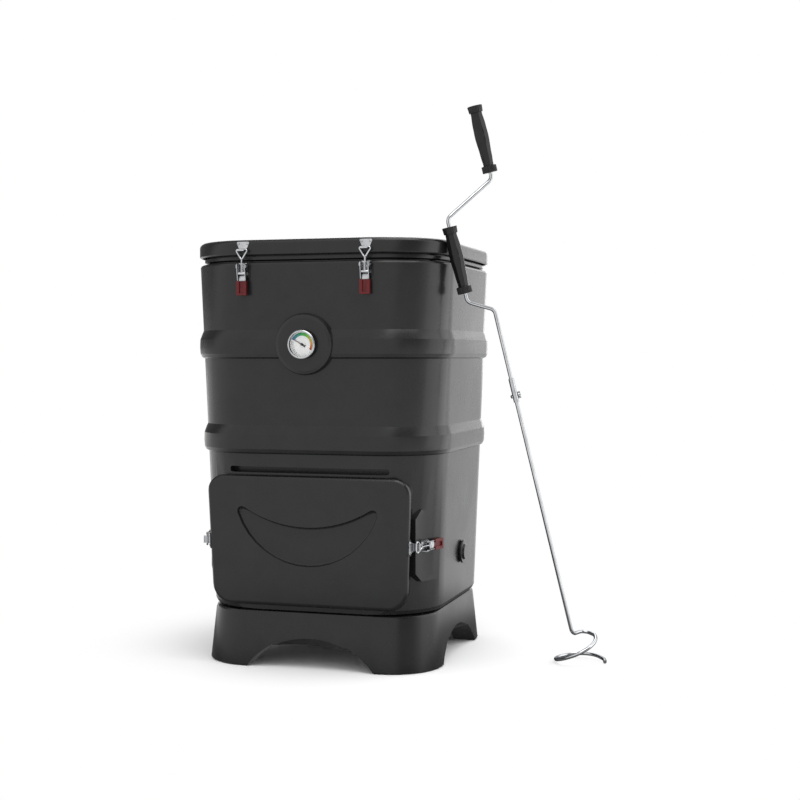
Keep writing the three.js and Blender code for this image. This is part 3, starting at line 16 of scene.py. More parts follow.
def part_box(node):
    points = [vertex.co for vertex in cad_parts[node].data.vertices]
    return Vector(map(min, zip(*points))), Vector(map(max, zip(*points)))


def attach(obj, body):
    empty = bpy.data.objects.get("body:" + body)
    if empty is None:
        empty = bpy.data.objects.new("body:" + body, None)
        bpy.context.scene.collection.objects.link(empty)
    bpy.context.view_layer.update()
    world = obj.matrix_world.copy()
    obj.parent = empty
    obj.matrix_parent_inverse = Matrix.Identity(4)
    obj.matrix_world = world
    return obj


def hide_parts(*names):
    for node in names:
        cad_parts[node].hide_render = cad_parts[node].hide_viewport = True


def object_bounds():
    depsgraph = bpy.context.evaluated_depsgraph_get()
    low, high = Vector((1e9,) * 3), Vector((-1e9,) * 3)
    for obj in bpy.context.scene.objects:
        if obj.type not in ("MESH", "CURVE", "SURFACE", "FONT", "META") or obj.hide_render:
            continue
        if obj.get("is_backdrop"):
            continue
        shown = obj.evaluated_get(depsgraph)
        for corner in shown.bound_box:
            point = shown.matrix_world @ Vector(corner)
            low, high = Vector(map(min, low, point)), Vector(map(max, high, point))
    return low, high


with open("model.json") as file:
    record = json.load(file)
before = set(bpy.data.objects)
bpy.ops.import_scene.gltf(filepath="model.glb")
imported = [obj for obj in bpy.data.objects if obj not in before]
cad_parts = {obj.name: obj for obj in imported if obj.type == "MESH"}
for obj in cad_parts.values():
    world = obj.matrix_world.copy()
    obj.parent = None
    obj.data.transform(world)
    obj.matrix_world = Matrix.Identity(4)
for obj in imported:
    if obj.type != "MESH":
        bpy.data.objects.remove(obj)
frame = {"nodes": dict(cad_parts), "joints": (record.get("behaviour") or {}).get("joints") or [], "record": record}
solid_box = [list(corner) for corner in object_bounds()]
nodes = frame["nodes"]
joints = {joint["name"]: joint for joint in frame["joints"]}
body_of = {
    node: body
    for body, members in frame["record"]["behaviour"]["bodies"].items()
    for node in members
}

# %% [markdown]
# ## Units and a clean selection
#
# A bin maker's drawing is in millimetres and Blender works in metres, so one value turns one into
# the other. Operators act on all that is selected, and loading leaves the solids selected, so each
# step starts by selecting only what it works on.

# %% Units and selection
mm = 0.001


def select_only(*pieces):
    """Selects these pieces and nothing else, the last one active."""
    bpy.ops.object.select_all(action="DESELECT")
    for piece in pieces:
        piece.select_set(True)
    if pieces:
        bpy.context.view_layer.objects.active = pieces[-1]


def middle_of(node):
    """The centre of a solid's box."""
    low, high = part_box(node)
    return (low + high) / 2


select_only()
bin_centre = middle_of("lid_cover")
print("the bin stands round x", round(bin_centre.x, 4), "y", round(bin_centre.y, 4))

# %% [markdown]
# ## The camera
#
# A product photographer stands a few paces back with a moderately long lens, so that the square
# bin keeps its upright sides. The place is measured from the floor under the middle of the lid,
# and the camera turns to its left and tips down by less than two degrees.

# %% Camera
camera_from_bin = Vector((993.8, -2913.5, 635.7)) * mm
camera_turn = math.radians(16.752)
camera_tip = math.radians(1.819)
focal_in_pixels = 1414.254
picture_width = 800
sensor_width = 36

bpy.ops.object.camera_add(
    location=(
        bin_centre.x + camera_from_bin.x,
        bin_centre.y + camera_from_bin.y,
        camera_from_bin.z,
    ),
    rotation=(math.radians(90) - camera_tip, 0, camera_turn),
)
camera = bpy.context.active_object
camera.name = "portrait_camera"
camera.data.sensor_width = sensor_width
camera.data.lens = focal_in_pixels / picture_width * sensor_width
bpy.context.scene.camera = camera
bpy.context.scene.view_settings.view_transform = "Standard"
print("lens", round(camera.data.lens, 2), "mm")

# %% [markdown]
# ## Small tools for materials
#
# Every finish here is worked out by nodes from the place on the piece, so nothing needs an image.
# One helper turns a written colour into light values, and another gives plain white light of a
# level. A board holds the nodes of a material or of the studio, and adds or links one in a line.

# %% Boards of nodes
def tone(written):
    """A colour such as 8d1a20 as the linear values that a shader takes."""
    parts = [int(written[i:i + 2], 16) / 255 for i in (0, 2, 4)]
    return [p / 12.92 if p <= 0.04045 else ((p + 0.055) / 1.055) ** 2.4 for p in parts] + [1]


def white(level):
    """White light of a level: 1 is paper, less is grey and more is brighter than paper."""
    return (level, level, level, 1)


class Board:
    """The nodes of a material or of the world."""

    def __init__(self, owner):
        owner.use_nodes = True
        self.tree = owner.node_tree

    def set(self, node, values):
        """Writes values to a node's sockets."""
        for socket, value in values.items():
            node.inputs[socket].default_value = value

    def add(self, kind, values=None, **settings):
        """Adds a node with its settings and socket values."""
        node = self.tree.nodes.new(kind)
        for name, setting in settings.items():
            setattr(node, name, setting)
        self.set(node, values or {})
        return node

    def join(self, output, target):
        """Links an output to a socket."""
        self.tree.links.new(output, target)

    def spread(self, value, limits, **settings):
        """Maps a value from one range to another, which is 0 to 1 unless the limits say."""
        spread = self.add("ShaderNodeMapRange", limits, **settings)
        self.join(value, spread.inputs["Value"])
        return spread.outputs["Result"]

    def ramp(self, factor, stops):
        """A run of colours through (position, colour) stops, picked by a factor."""
        ramp = self.add("ShaderNodeValToRGB")
        points = ramp.color_ramp.elements
        for point, stop in ((points[0], stops[0]), (points[-1], stops[-1])):
            point.position, point.color = stop
        for position, colour in stops[1:-1]:
            points.new(position).color = colour
        self.join(factor, ramp.inputs["Fac"])
        return ramp.outputs["Color"]


print("the black 1a1a1b is", [round(value, 4) for value in tone("1a1a1b")[:3]], "as light")

# %% [markdown]
# ## A finish
#
# No real surface is one tone, one gloss or quite flat. So a finish can blend two tones by a cloud
# pattern, let another cloud drive its roughness, stack fine bumps on each other, and paint shade
# into the creases where one piece of metal comes close to another. A cloud's values run from 0 to 1,
# but nearly all of them lie in the middle, so that part is what gets spread.

# %% Finishes
cloud_low, cloud_high = 0.3, 0.7


class Finish(Board):
    """A material that is built up node by node."""

    def __init__(self, name, colour, roughness, metallic=0.0, specular=0.5):
        self.material = bpy.data.materials.new(name)
        super().__init__(self.material)
        self.shader = self.tree.nodes["Principled BSDF"]
        self.set(
            self.shader,
            {
                "Base Color": tone(colour),
                "Roughness": roughness,
                "Metallic": metallic,
                "Specular IOR Level": specular,
            },
        )
        self.place = self.add("ShaderNodeTexCoord").outputs["Object"]

    def noise(self, scale, detail=2.0, roughness=0.5, stretch=(1, 1, 1)):
        """A cloud pattern with this many waves per metre, drawn out along an axis by stretch."""
        stretched = self.add("ShaderNodeMapping", {"Scale": stretch})
        self.join(self.place, stretched.inputs["Vector"])
        cloud = self.add(
            "ShaderNodeTexNoise", {"Scale": scale, "Detail": detail, "Roughness": roughness}
        )
        self.join(stretched.outputs["Vector"], cloud.inputs["Vector"])
        return cloud.outputs["Fac"]

    def vary(self, pattern, socket, low, high):
        """Lets a pattern drive one socket between two values."""
        limits = {"From Min": cloud_low, "From Max": cloud_high, "To Min": low, "To Max": high}
        self.join(self.spread(pattern, limits), self.shader.inputs[socket])

    def blend(self, pattern, dark, light, low=cloud_low, high=cloud_high):
        """Lets a pattern blend two colours into the base colour."""
        blended = self.ramp(pattern, [(low, tone(dark)), (high, tone(light))])
        self.join(blended, self.shader.inputs["Base Color"])

    def paint_crease_shade(self, width, dark, closed=0.45, clear=0.95):
        """Paints shade into the base colour: a dark tone where other metal is nearer than a width."""
        # The dark tone is painted shade. The less open a place is to the room, the more of it shows.
        crease = self.add("ShaderNodeAmbientOcclusion", {"Distance": width}, samples=8)
        openness = self.spread(crease.outputs["AO"], {"From Min": closed, "From Max": clear})
        base = self.shader.inputs["Base Color"]
        mix = self.add("ShaderNodeMix", {"A": tone(dark)}, data_type="RGBA")
        self.join(openness, mix.inputs["Factor"])
        self.join(base.links[0].from_socket, mix.inputs["B"])
        self.join(mix.outputs["Result"], base)

    def raise_by(self, patterns):
        """Stacks bumps, given as (pattern, height in metres, strength)."""
        normal = None
        for pattern, height, strength in patterns:
            bump = self.add("ShaderNodeBump", {"Distance": height, "Strength": strength})
            self.join(pattern, bump.inputs["Height"])
            if normal:
                self.join(normal, bump.inputs["Normal"])
            normal = bump.outputs["Normal"]
        self.join(normal, self.shader.inputs["Normal"])


print("clouds are spread from", cloud_low, "to", cloud_high)

# %% [markdown]
# ## Moulded black plastic
#
# The stand, skin, lid and hatch come out of a slowly turning mould. Powder melts against its
# wall, so the surface is satin with a fine grain, a faint long ripple, and patches that shine a
# little more than others. Three bumps from long to fine, a slow change of roughness and a thin
# clear coat give that.

# %% Moulded plastic
moulded = Finish("moulded_black_plastic", "1a1a1b", 0.3, specular=0.28)
moulded.set(moulded.shader, {"Coat Weight": 0.2, "Coat Roughness": 0.18})
moulded.blend(moulded.noise(26, 5, 0.6), "181819", "1d1d1e")
moulded.vary(moulded.noise(9, 3), "Roughness", 0.24, 0.3)
moulded.raise_by([
    (moulded.noise(14, 2), 0.5 * mm, 0.08),
    (moulded.noise(420, 2), 0.12 * mm, 0.12),
    (moulded.noise(1500, 1), 0.05 * mm, 0.1),
])
print(moulded.material.name, len(moulded.tree.nodes), "nodes")

# %% [markdown]
# ## Plastic on the inside
#
# The liner, grate and throat are the same plastic from the rough side of the mould. It is more
# matt, and brown dust from the compost clings low down, so a wide cloud mixes an earthy tone in.

# %% Inner plastic
inner = Finish("inner_plastic", "252526", 0.62, specular=0.3)
inner.blend(inner.noise(11, 6, 0.7), "212122", "2e2b28", 0.42, 0.78)
inner.vary(inner.noise(30, 3), "Roughness", 0.55, 0.72)
inner.raise_by([(inner.noise(260, 3), 0.25 * mm, 0.3)])
print(inner.material.name)

# %% [markdown]
# ## Foam
#
# The walls are filled with pale rigid foam. It is hidden while the bin is whole, but a part that
# is taken to pieces shows it: chalky, with small beads.

# %% Foam
foam = Finish("rigid_foam", "d9d4c5", 0.92, specular=0.2)
beads = foam.add("ShaderNodeTexVoronoi", {"Scale": 300.0})
foam.join(foam.place, beads.inputs["Vector"])
foam.blend(beads.outputs["Distance"], "e2ddd0", "c9c3b2", 0.1, 0.7)
foam.raise_by([(beads.outputs["Distance"], 0.6 * mm, 0.4)])
print(foam.material.name)

# %% [markdown]
# ## Rubber seals
#
# The seals are soft black rubber with a dry bloom on them, so the tone is nearly even and the
# shine is low.

# %% Rubber
rubber = Finish("seal_rubber", "1b1b1c", 0.8, specular=0.3)
rubber.blend(rubber.noise(90, 4), "171718", "202021")
rubber.raise_by([(rubber.noise(900, 2), 0.08 * mm, 0.3)])
print(rubber.material.name)

# %% [markdown]
# ## Pressed and drawn steel
#
# Latches, hinges and the thermometer's case are stainless sheet. Rolling leaves fine streaks in
# one direction, which a cloud stretched tall gives. Where two sheets nearly meet, shade is painted
# into the colour as a dark line in the creases. The tool's rod is drawn wire, so it shines more
# and its streaks run along it. Bright metal mirrors pure white at its turning edges and would
# fade into a white room, so a dark tint there keeps its outline in sight.

# %% Steel
sheet_steel = Finish("stainless_sheet", "bcbec0", 0.24, metallic=1.0)
sheet_steel.blend(sheet_steel.noise(60, 4), "b0b2b5", "c8cacc")
# Painted shade: a dark line mixed into the colour in the creases between sheets.
sheet_steel.paint_crease_shade(3 * mm, "26282a")
sheet_steel.vary(sheet_steel.noise(700, 2, stretch=(1, 1, 0.06)), "Roughness", 0.17, 0.33)
sheet_steel.raise_by([(sheet_steel.noise(900, 2, stretch=(1, 1, 0.05)), 0.03 * mm, 0.25)])

drawn_steel = Finish("drawn_steel_rod", "c4c6c8", 0.16, metallic=1.0)
drawn_steel.blend(drawn_steel.noise(40, 4), "b9bbbe", "cfd1d3")
drawn_steel.vary(drawn_steel.noise(500, 2, stretch=(1, 1, 0.08)), "Roughness", 0.1, 0.2)
for steel in (sheet_steel, drawn_steel):
    steel.set(steel.shader, {"Specular Tint": (0.12, 0.12, 0.13, 1)})
print(sheet_steel.material.name, drawn_steel.material.name)

# %% [markdown]
# ## Dipped red vinyl
#
# The latch levers end in a sleeve of dark red vinyl, made by dipping the hot lever. It is glossy
# and even, with soft runs, so a clear coat goes over a deep red and the bump is long and low.

# %% Vinyl
vinyl = Finish("dipped_red_vinyl", "58090d", 0.4, specular=0.3)
vinyl.blend(vinyl.noise(120, 3), "4f070b", "610b10")
vinyl.set(vinyl.shader, {"Coat Weight": 0.1, "Coat Roughness": 0.15})
vinyl.raise_by([(vinyl.noise(160, 2), 0.2 * mm, 0.25)])
print(vinyl.material.name)

# %% [markdown]
# ## Grips, needle and glass
#
# The tool's two grips are a hard black plastic, smoother than the bin. The needle is painted
# steel. The lens is a thin clear pane, so its roughness is near nothing and its index is low: a
# thin pane hardly bends what is seen through it.

# %% Grip plastic, paint and glass
grip_plastic = Finish("grip_plastic", "101011", 0.34, specular=0.36)
grip_plastic.blend(grip_plastic.noise(80, 3), "0e0e0f", "131314")
grip_plastic.raise_by([(grip_plastic.noise(1100, 2), 0.05 * mm, 0.2)])

needle_paint = Finish("needle_paint", "2a1c1c", 0.4)
needle_paint.blend(needle_paint.noise(300, 2), "261919", "301f1f")

lens_glass = Finish("lens_glass", "ffffff", 0.02, specular=0.4)
lens_glass.set(lens_glass.shader, {"Transmission Weight": 1.0, "IOR": 1.12})
print(grip_plastic.material.name, needle_paint.material.name, lens_glass.material.name)

# %% [markdown]
# ## The dial's printed scale
#
# The dial is white enamel, and its scale is printed by nodes too. What they need at every point is
# its reach from the dial's centre and its turn from twelve o'clock. A mapping node moves the
# centre to nothing, an arc tangent gives the turn and a length gives the reach. A test then says
# where both lie between their limits.

# %% Place on the dial
enamel = "fafbfa"
dial_centre = middle_of("thermometer_dial")
dial_low, dial_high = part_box("thermometer_dial")
dial_radius = (dial_high.x - dial_low.x) / 2

dial_print = Finish("dial_print", enamel, 0.45)
centred = dial_print.add("ShaderNodeMapping", {"Location": [-c for c in dial_centre]})
dial_print.join(dial_print.place, centred.inputs["Vector"])
apart = dial_print.add("ShaderNodeSeparateXYZ")
dial_print.join(centred.outputs["Vector"], apart.inputs["Vector"])
turn = dial_print.add("ShaderNodeMath", operation="ARCTAN2")
dial_print.join(apart.outputs["X"], turn.inputs[0])
dial_print.join(apart.outputs["Z"], turn.inputs[1])
flat_place = dial_print.add("ShaderNodeCombineXYZ")
dial_print.join(apart.outputs["X"], flat_place.inputs["X"])
dial_print.join(apart.outputs["Z"], flat_place.inputs["Z"])
reach = dial_print.add("ShaderNodeVectorMath", operation="LENGTH")
dial_print.join(flat_place.outputs["Vector"], reach.inputs[0])


def printed_where(values_and_limits):
    """One where every (output, low, high) lies between its limits, and nothing elsewhere."""
    product = None
    for output, low, high in values_and_limits:
        for operation, limit in (("GREATER_THAN", low), ("LESS_THAN", high)):
            test = dial_print.add("ShaderNodeMath", {1: limit}, operation=operation)
            dial_print.join(output, test.inputs[0])
            if product is None:
                product = test.outputs["Value"]
                continue
            both = dial_print.add("ShaderNodeMath", operation="MULTIPLY")
            dial_print.join(product, both.inputs[0])
            dial_print.join(test.outputs["Value"], both.inputs[1])
            product = both.outputs["Value"]
    return product


print("the dial is", round(dial_radius * 2 / mm, 1), "mm across")

# %% [markdown]
# ## The dial's coloured band
#
# The band tells at a glance how the heap is doing: blue where it is cold, green where it works
# well, and orange where it is too hot. The turn picks the colour, and the reach decides where the
# band starts and ends. Outside it the enamel shows.

# %% Coloured band
band_inner_share, band_outer_share = 0.66, 0.9
cold_turn, hot_turn = math.radians(-64), math.radians(122)
band_stops = [
    (0.0, "4579a6"), (0.2, "2f9a8e"), (0.34, "35ad55"), (0.48, "55c640"),
    (0.62, "bcc93f"), (0.78, "dd9a38"), (0.96, "c0562c"),
]
along_band = dial_print.spread(turn.outputs["Value"], {"From Min": cold_turn, "From Max": hot_turn})
band = dial_print.ramp(along_band, [(position, tone(colour)) for position, colour in band_stops])
in_band = printed_where([
    (reach.outputs["Value"], dial_radius * band_inner_share, dial_radius * band_outer_share),
    (turn.outputs["Value"], cold_turn, hot_turn),
])
ink = dial_print.add("ShaderNodeMix", {"A": tone(enamel)}, data_type="RGBA")
dial_print.join(in_band, ink.inputs["Factor"])
dial_print.join(band, ink.inputs["B"])
print("the band turns through", round(math.degrees(hot_turn - cold_turn)), "degrees")

# %% [markdown]
# ## The dial's ticks
#
# Before the band the scale goes on as short grey ticks. Folding the turn back and forth over half
# a pitch brings every tick to nothing, so one narrow test prints them all.

# %% Ticks
tick_pitch, tick_width = math.radians(11), math.radians(2.4)
tick_inner_share, tick_outer_share = 0.7, 0.88
first_tick_turn = math.radians(-152)
below_any_fold = -1

fold = dial_print.add("ShaderNodeMath", {1: tick_pitch / 2}, operation="PINGPONG")
dial_print.join(turn.outputs["Value"], fold.inputs[0])
on_tick = printed_where([
    (fold.outputs["Value"], below_any_fold, tick_width / 2),
    (reach.outputs["Value"], dial_radius * tick_inner_share, dial_radius * tick_outer_share),
    (turn.outputs["Value"], first_tick_turn, cold_turn - tick_width),
])
scale_ink = dial_print.add("ShaderNodeMix", {"B": tone("6d7175")}, data_type="RGBA")
dial_print.join(on_tick, scale_ink.inputs["Factor"])
dial_print.join(ink.outputs["Result"], scale_ink.inputs["A"])
dial_print.join(scale_ink.outputs["Result"], dial_print.shader.inputs["Base Color"])
print(int((cold_turn - first_tick_turn) / tick_pitch), "ticks before the band")

# %% [markdown]
# ## Finishing a solid
#
# The solids arrive as loose flat triangles with knife edges, and no moulded or pressed piece has
# those. Each is copied, its corners are welded and its edges are eased by a small bevel that
# catches the light. Weighted normals keep the flats flat beside the rounds.
#
# Joining the triangles of each flat first gives a cleaner bevel. But a flat with a hole in it,
# such as the rim under a lid, can come out as one face that closes the hole, so those pieces leave
# the joining out. The copy takes its finish, rides with its body and stands for the solid.

# %% Finisher
weld_within = 0.01 * mm
made = []


def put_in_service(piece, node, finish):
    """Gives a finished piece its material and its body, and hides the solid that it stands for."""
    piece.data.materials.clear()
    piece.data.materials.append(finish.material)
    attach(piece, body_of[node])
    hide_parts(node)
    made.append(piece)


def finish_solid(node, finish, ease=0.0, steps=2, flats=0.6, smooth=34, sharp=28):
    """A welded copy of a solid with eased edges; flats, smooth and sharp are in degrees."""
    piece = bpy.data.objects.new(f"{node}_finished", nodes[node].data.copy())
    bpy.context.scene.collection.objects.link(piece)
    select_only(piece)
    bpy.ops.object.mode_set(mode="EDIT")
    bpy.ops.mesh.select_all(action="SELECT")
    bpy.ops.mesh.remove_doubles(threshold=weld_within)
    if flats:
        bpy.ops.mesh.dissolve_limited(angle_limit=math.radians(flats))
    bpy.ops.object.mode_set(mode="OBJECT")
    if ease:
        bevel = piece.modifiers.new("eased_edges", "BEVEL")
        bevel.width = ease
        bevel.segments = steps
        bevel.limit_method = "ANGLE"
        bevel.angle_limit = math.radians(sharp)
        bevel.miter_outer = "MITER_ARC"
        bpy.ops.object.modifier_apply(modifier=bevel.name)
    bpy.ops.object.shade_smooth_by_angle(angle=math.radians(smooth))
    weights = piece.modifiers.new("flat_faces_lead", "WEIGHTED_NORMAL")
    weights.keep_sharp = True
    bpy.ops.object.modifier_apply(modifier=weights.name)
    put_in_service(piece, node, finish)


print("points within", round(weld_within / mm, 3), "mm are welded")

# %% [markdown]
# ## The stand, skin, lid and hatch
#
# These four are the bin as it is seen. The mould leaves no sharp edge anywhere, so their rounds
# come from the solids and only the last crease is eased. The hatch gets a wider one, because its
# rim is what catches the light beside the dark recess. The skin and lid have long shallow creases
# along their bands and rims, so an edge counts as sharp there from a smaller angle. Of the four
# only the hatch's flats are joined, since the others have flats with holes in them. The small
# plug in the bin's side is moulded too, with a finer ease.

# %% Outer mouldings
for node, ease, flats, sharp in (
    ("base_stand", 1.2 * mm, 0, 28),
    ("body_outer_shell", 1.0 * mm, 0, 16),
    ("lid_cover", 1.0 * mm, 0, 16),
    ("door_panel", 2.2 * mm, 0.25, 28),
):
    finish_solid(node, moulded, ease=ease, flats=flats, sharp=sharp)
finish_solid("side_plug", moulded, ease=0.4 * mm)
print(len(made), "outer mouldings")

# %% [markdown]
# ## Inside the bin
#
# The liner, throat, grate and the inner sheets of lid and hatch show when the bin is opened, and
# the foam between the sheets only when it is taken apart. The grate's flats are full of slots, so
# they aren't joined. A seal is squashed when the bin is shut, and its solid has that height.

# %% Inner pieces
for node in ("body_inner_liner", "door_throat", "door_inner_plate", "lid_inner_pan"):
    finish_solid(node, inner, ease=0.5 * mm, flats=0.25, sharp=14)
finish_solid("aeration_floor", inner, ease=0.5 * mm, flats=0)
for node in ("body_insulation", "door_insulation", "lid_insulation"):
    finish_solid(node, foam, flats=0.25)
for node in ("lid_seal", "door_seal", "side_plug_seal"):
    finish_solid(node, rubber, ease=0.5 * mm)
print(len(made), "pieces so far")

# %% [markdown]
# ## Latch sheet metal and sleeves
#
# Each latch is a riveted base with two ears, a lever that turns between them, and a strike with
# a small hook. They are pressed from sheet, whose cut edge is only just rounded. The red sleeve
# is thick and soft, so its edges are eased much more.

# %% Latch pieces
latch_names = ("lid_left", "lid_right", "door_left", "door_right")
for latch in latch_names:
    for part in ("base", "lever", "strike"):
        finish_solid(f"latch_{latch}_{part}", sheet_steel, ease=0.22 * mm)
    finish_solid(f"latch_{latch}_grip", vinyl, ease=0.9 * mm, steps=3)
print("latches:", ", ".join(latch_names))

# %% [markdown]
# ## Bending wire
#
# A bail, a crank and an auger are all one length of round wire, bent at a few corners. The line
# is drawn through its corners, each corner is turned on a given radius, and a round section
# follows the line. It is made a mesh at once, so that its ends are capped and closed.

# %% Wire bender
wire_smooth = math.radians(50)


def rounded_run(corners, bend, steps=6, closed=False):
    """The corners of a line with each one turned on a radius."""
    run = []
    for i, corner in enumerate(corners):
        if not closed and i in (0, len(corners) - 1):
            run.append(corner)
            continue
        back = (corners[i - 1] - corner).normalized()
        ahead = (corners[(i + 1) % len(corners)] - corner).normalized()
        half_angle = back.angle(ahead) / 2
        centre = corner + (back + ahead).normalized() * (bend / math.sin(half_angle))
        first = corner + back * (bend / math.tan(half_angle)) - centre
        last = corner + ahead * (bend / math.tan(half_angle)) - centre
        for k in range(steps + 1):
            run.append(centre + first.slerp(last, k / steps).normalized() * first.length)
    return run


def bent_wire(name, line, radius, closed=False, resolution=3):
    """A closed mesh of round wire along a line of points."""
    curve = bpy.data.curves.new(name, "CURVE")
    curve.dimensions = "3D"
    curve.bevel_depth = radius
    curve.bevel_resolution = resolution
    curve.use_fill_caps = True
    spline = curve.splines.new("POLY")
    spline.points.add(len(line) - 1)
    for point, place in zip(spline.points, line):
        point.co = (*place, 1)
    spline.use_cyclic_u = closed
    wire = bpy.data.objects.new(name, curve)
    bpy.context.scene.collection.objects.link(wire)
    select_only(wire)
    bpy.ops.object.convert(target="MESH")
    bpy.ops.object.mode_set(mode="EDIT")
    bpy.ops.mesh.select_all(action="SELECT")
    bpy.ops.mesh.remove_doubles(threshold=weld_within)
    bpy.ops.mesh.normals_make_consistent(inside=False)
    bpy.ops.object.mode_set(mode="OBJECT")
    bpy.ops.object.shade_smooth_by_angle(angle=wire_smooth)
    return bpy.context.active_object


square_corner = [Vector((0, 0, 0)), Vector((1, 0, 0)), Vector((1, 1, 0))]
print("one bent corner has", len(rounded_run(square_corner, 0.1)) - 2, "points")

# %% [markdown]
# ## The latch bails
#
# The bail is a triangle of wire on a short shank, and the shank ends in a small barrel that
# turns in the lever. Each latch has its own frame, read from its two joints: the lever's pivot
# and, further from the strike, the bail's. So each bail is shaped in the same plain frame and
# then placed on its own latch.

# %% Bail sizes
pivot_out = 8 * mm
link_throw = 14 * mm
hook_reach = 34 * mm
bail_half = 13.2 * mm
bail_height = 21 * mm
wire_radius = 1.75 * mm
bail_bend = wire_radius + 1 * mm
barrel_radius = 3 * mm
barrel_half = 7.4 * mm
barrel_round = 0.5 * mm
barrel_sides = 20
barrel_smooth = math.radians(40)
shank_reach_share = 0.8
print("bails of", round(wire_radius * 2 / mm, 2), "mm wire")

# %% [markdown]
# ## Shaping a bail
#
# The triangle is a closed loop of bent wire and the shank a straight piece that runs a little way
# into the bend nearest the lever, as a weld would hold it. The barrel is a cylinder laid across.
# The three are joined into one piece.

# %% Bails
def latch_frame(latch):
    """Where a latch sits: across it, into the wall, and towards its strike."""
    pivot = Vector(joints[f"{latch}_lever_turn"]["pos_m"])
    trunnion = Vector(joints[f"{latch}_bail_turn"]["pos_m"])
    across = -Vector(joints[f"{latch}_lever_turn"]["axis"])
    towards = (pivot - trunnion).normalized()
    inwards = towards.cross(across)
    turned = Matrix((across, inwards, towards)).transposed().to_4x4()
    return Matrix.Translation(pivot + inwards * pivot_out) @ turned


def shape_barrel():
    """The cylinder that turns in the lever, laid across the latch."""
    bpy.ops.mesh.primitive_cylinder_add(
        vertices=barrel_sides,
        radius=barrel_radius,
        depth=barrel_half * 2,
        location=(0, -pivot_out, -link_throw),
        rotation=(0, math.radians(90), 0),
    )
    barrel = bpy.context.active_object
    bpy.ops.object.transform_apply(location=True, rotation=True, scale=True)
    rounding = barrel.modifiers.new("rounding", "BEVEL")
    rounding.width = barrel_round
    rounding.segments = 2
    bpy.ops.object.modifier_apply(modifier=rounding.name)
    bpy.ops.object.shade_smooth_by_angle(angle=barrel_smooth)
    return barrel


def shape_bail(name):
    """The wire triangle, its shank and its barrel, in the latch's own frame."""
    corners = [
        Vector((-bail_half, -pivot_out, hook_reach)),
        Vector((bail_half, -pivot_out, hook_reach)),
        Vector((0, -pivot_out, hook_reach - bail_height)),
    ]
    triangle = rounded_run(corners, bail_bend, closed=True)
    loop = bent_wire(f"{name}_loop", triangle, wire_radius, closed=True)
    shank_line = [
        corners[2] + Vector((0, 0, bail_bend * shank_reach_share)),
        Vector((0, -pivot_out, -link_throw)),
    ]
    shank = bent_wire(f"{name}_shank", shank_line, wire_radius)
    select_only(loop, shank, shape_barrel())
    bpy.ops.object.join()
    bail = bpy.context.active_object
    bail.name = name
    return bail


for latch in latch_names:
    bail = shape_bail(f"{latch}_wire_bail")
    bail.data.transform(latch_frame(latch))
    put_in_service(bail, f"latch_{latch}_bail", drawn_steel)
print(len(latch_names), "bails of", len(bail.data.vertices), "points each")

# %% [markdown]
# ## Turning on a lathe
#
# A grip starts as a turned shape. A ring of points is laid down at the first height, then extruded
# and resized to each next radius, as a lathe hand would work along a bar. Open ends are filled, so
# the piece is one closed solid.

# %% Lathe
def turned_piece(name, profile, sides):
    """A closed turned piece along +Z from a list of (radius, height)."""
    select_only()
    radius, height = profile[0]
    bpy.ops.mesh.primitive_circle_add(
        vertices=sides, radius=radius, fill_type="NOTHING", location=(0, 0, 0), enter_editmode=True
    )
    bpy.ops.mesh.select_all(action="SELECT")
    bpy.ops.transform.translate(value=(0, 0, height))
    for next_radius, next_height in profile[1:]:
        rise = (0, 0, next_height - height)
        bpy.ops.mesh.extrude_region_move(TRANSFORM_OT_translate={"value": rise})
        grow = next_radius / radius
        bpy.ops.transform.resize(value=(grow, grow, 1), center_override=(0, 0, next_height))
        radius, height = next_radius, next_height
    bpy.ops.mesh.select_all(action="SELECT")
    bpy.ops.mesh.remove_doubles(threshold=weld_within)
    bpy.ops.mesh.fill_holes(sides=0)
    bpy.ops.mesh.select_all(action="SELECT")
    bpy.ops.mesh.normals_make_consistent(inside=False)
    bpy.ops.object.mode_set(mode="OBJECT")
    piece = bpy.context.active_object
    piece.name = name
    return piece


print("the lathe is ready for the grips")

# %% [markdown]
# ## The aerator's own frame
#
# The tool leans on the lid, so it is easiest to model upright and then lean. Its two grips spin
# on joints whose axes run along the rod, and the step from one axis to the other lies in the
# crank's plane. From those the upright frame follows: up the rod, and across the crank.

# %% Tool frame
lower_throw = 52.3 * mm
upper_throw = 60 * mm
grip_length = 137 * mm
lower_grip_start = 720 * mm
upper_grip_start = 941 * mm

up_rod = Vector(joints["lower_grip_spin"]["axis"]).normalized()
lower_centre = Vector(joints["lower_grip_spin"]["pos_m"])
upper_centre = Vector(joints["upper_grip_spin"]["pos_m"])
step_over = upper_centre - lower_centre
across_crank = (step_over - up_rod * step_over.dot(up_rod)).normalized()
lean = Matrix((across_crank, up_rod.cross(across_crank), up_rod)).transposed().to_4x4()
lower_grip_middle = lower_grip_start + grip_length / 2
tool_foot = lower_centre + across_crank * lower_throw - up_rod * lower_grip_middle
tool_place = Matrix.Translation(tool_foot) @ lean
print("the rod leans", round(math.degrees(up_rod.angle(Vector((0, 0, 1)))), 2), "degrees")

# %% [markdown]
# ## The crank
#
# The upper rod is bent cold into two throws, like a brace for drilling: one hand steadies the
# lower grip while the other winds the upper one round. The bends are tight, with a radius of
# less than two thicknesses of rod, and the rod stops inside the closed top of the upper grip.

# %% Crank rod
rod_radius = 3.75 * mm
rod_bend = 14 * mm
rod_bend_steps = 10
rod_resolution = 5
shaft_split = 506.6 * mm
crank_heights = {
    "shaft": 673 * mm, "low": 702 * mm, "high": 872 * mm, "over": 928 * mm, "end": 1068 * mm,
}


def in_crank_plane(across, up):
    """A point of the upright tool."""
    return Vector((across, 0, up))


def bent_rod(name, line):
    """A length of the tool's rod, leaned into its place."""
    rod = bent_wire(name, line, rod_radius, resolution=rod_resolution)
    rod.data.transform(tool_place)
    return rod


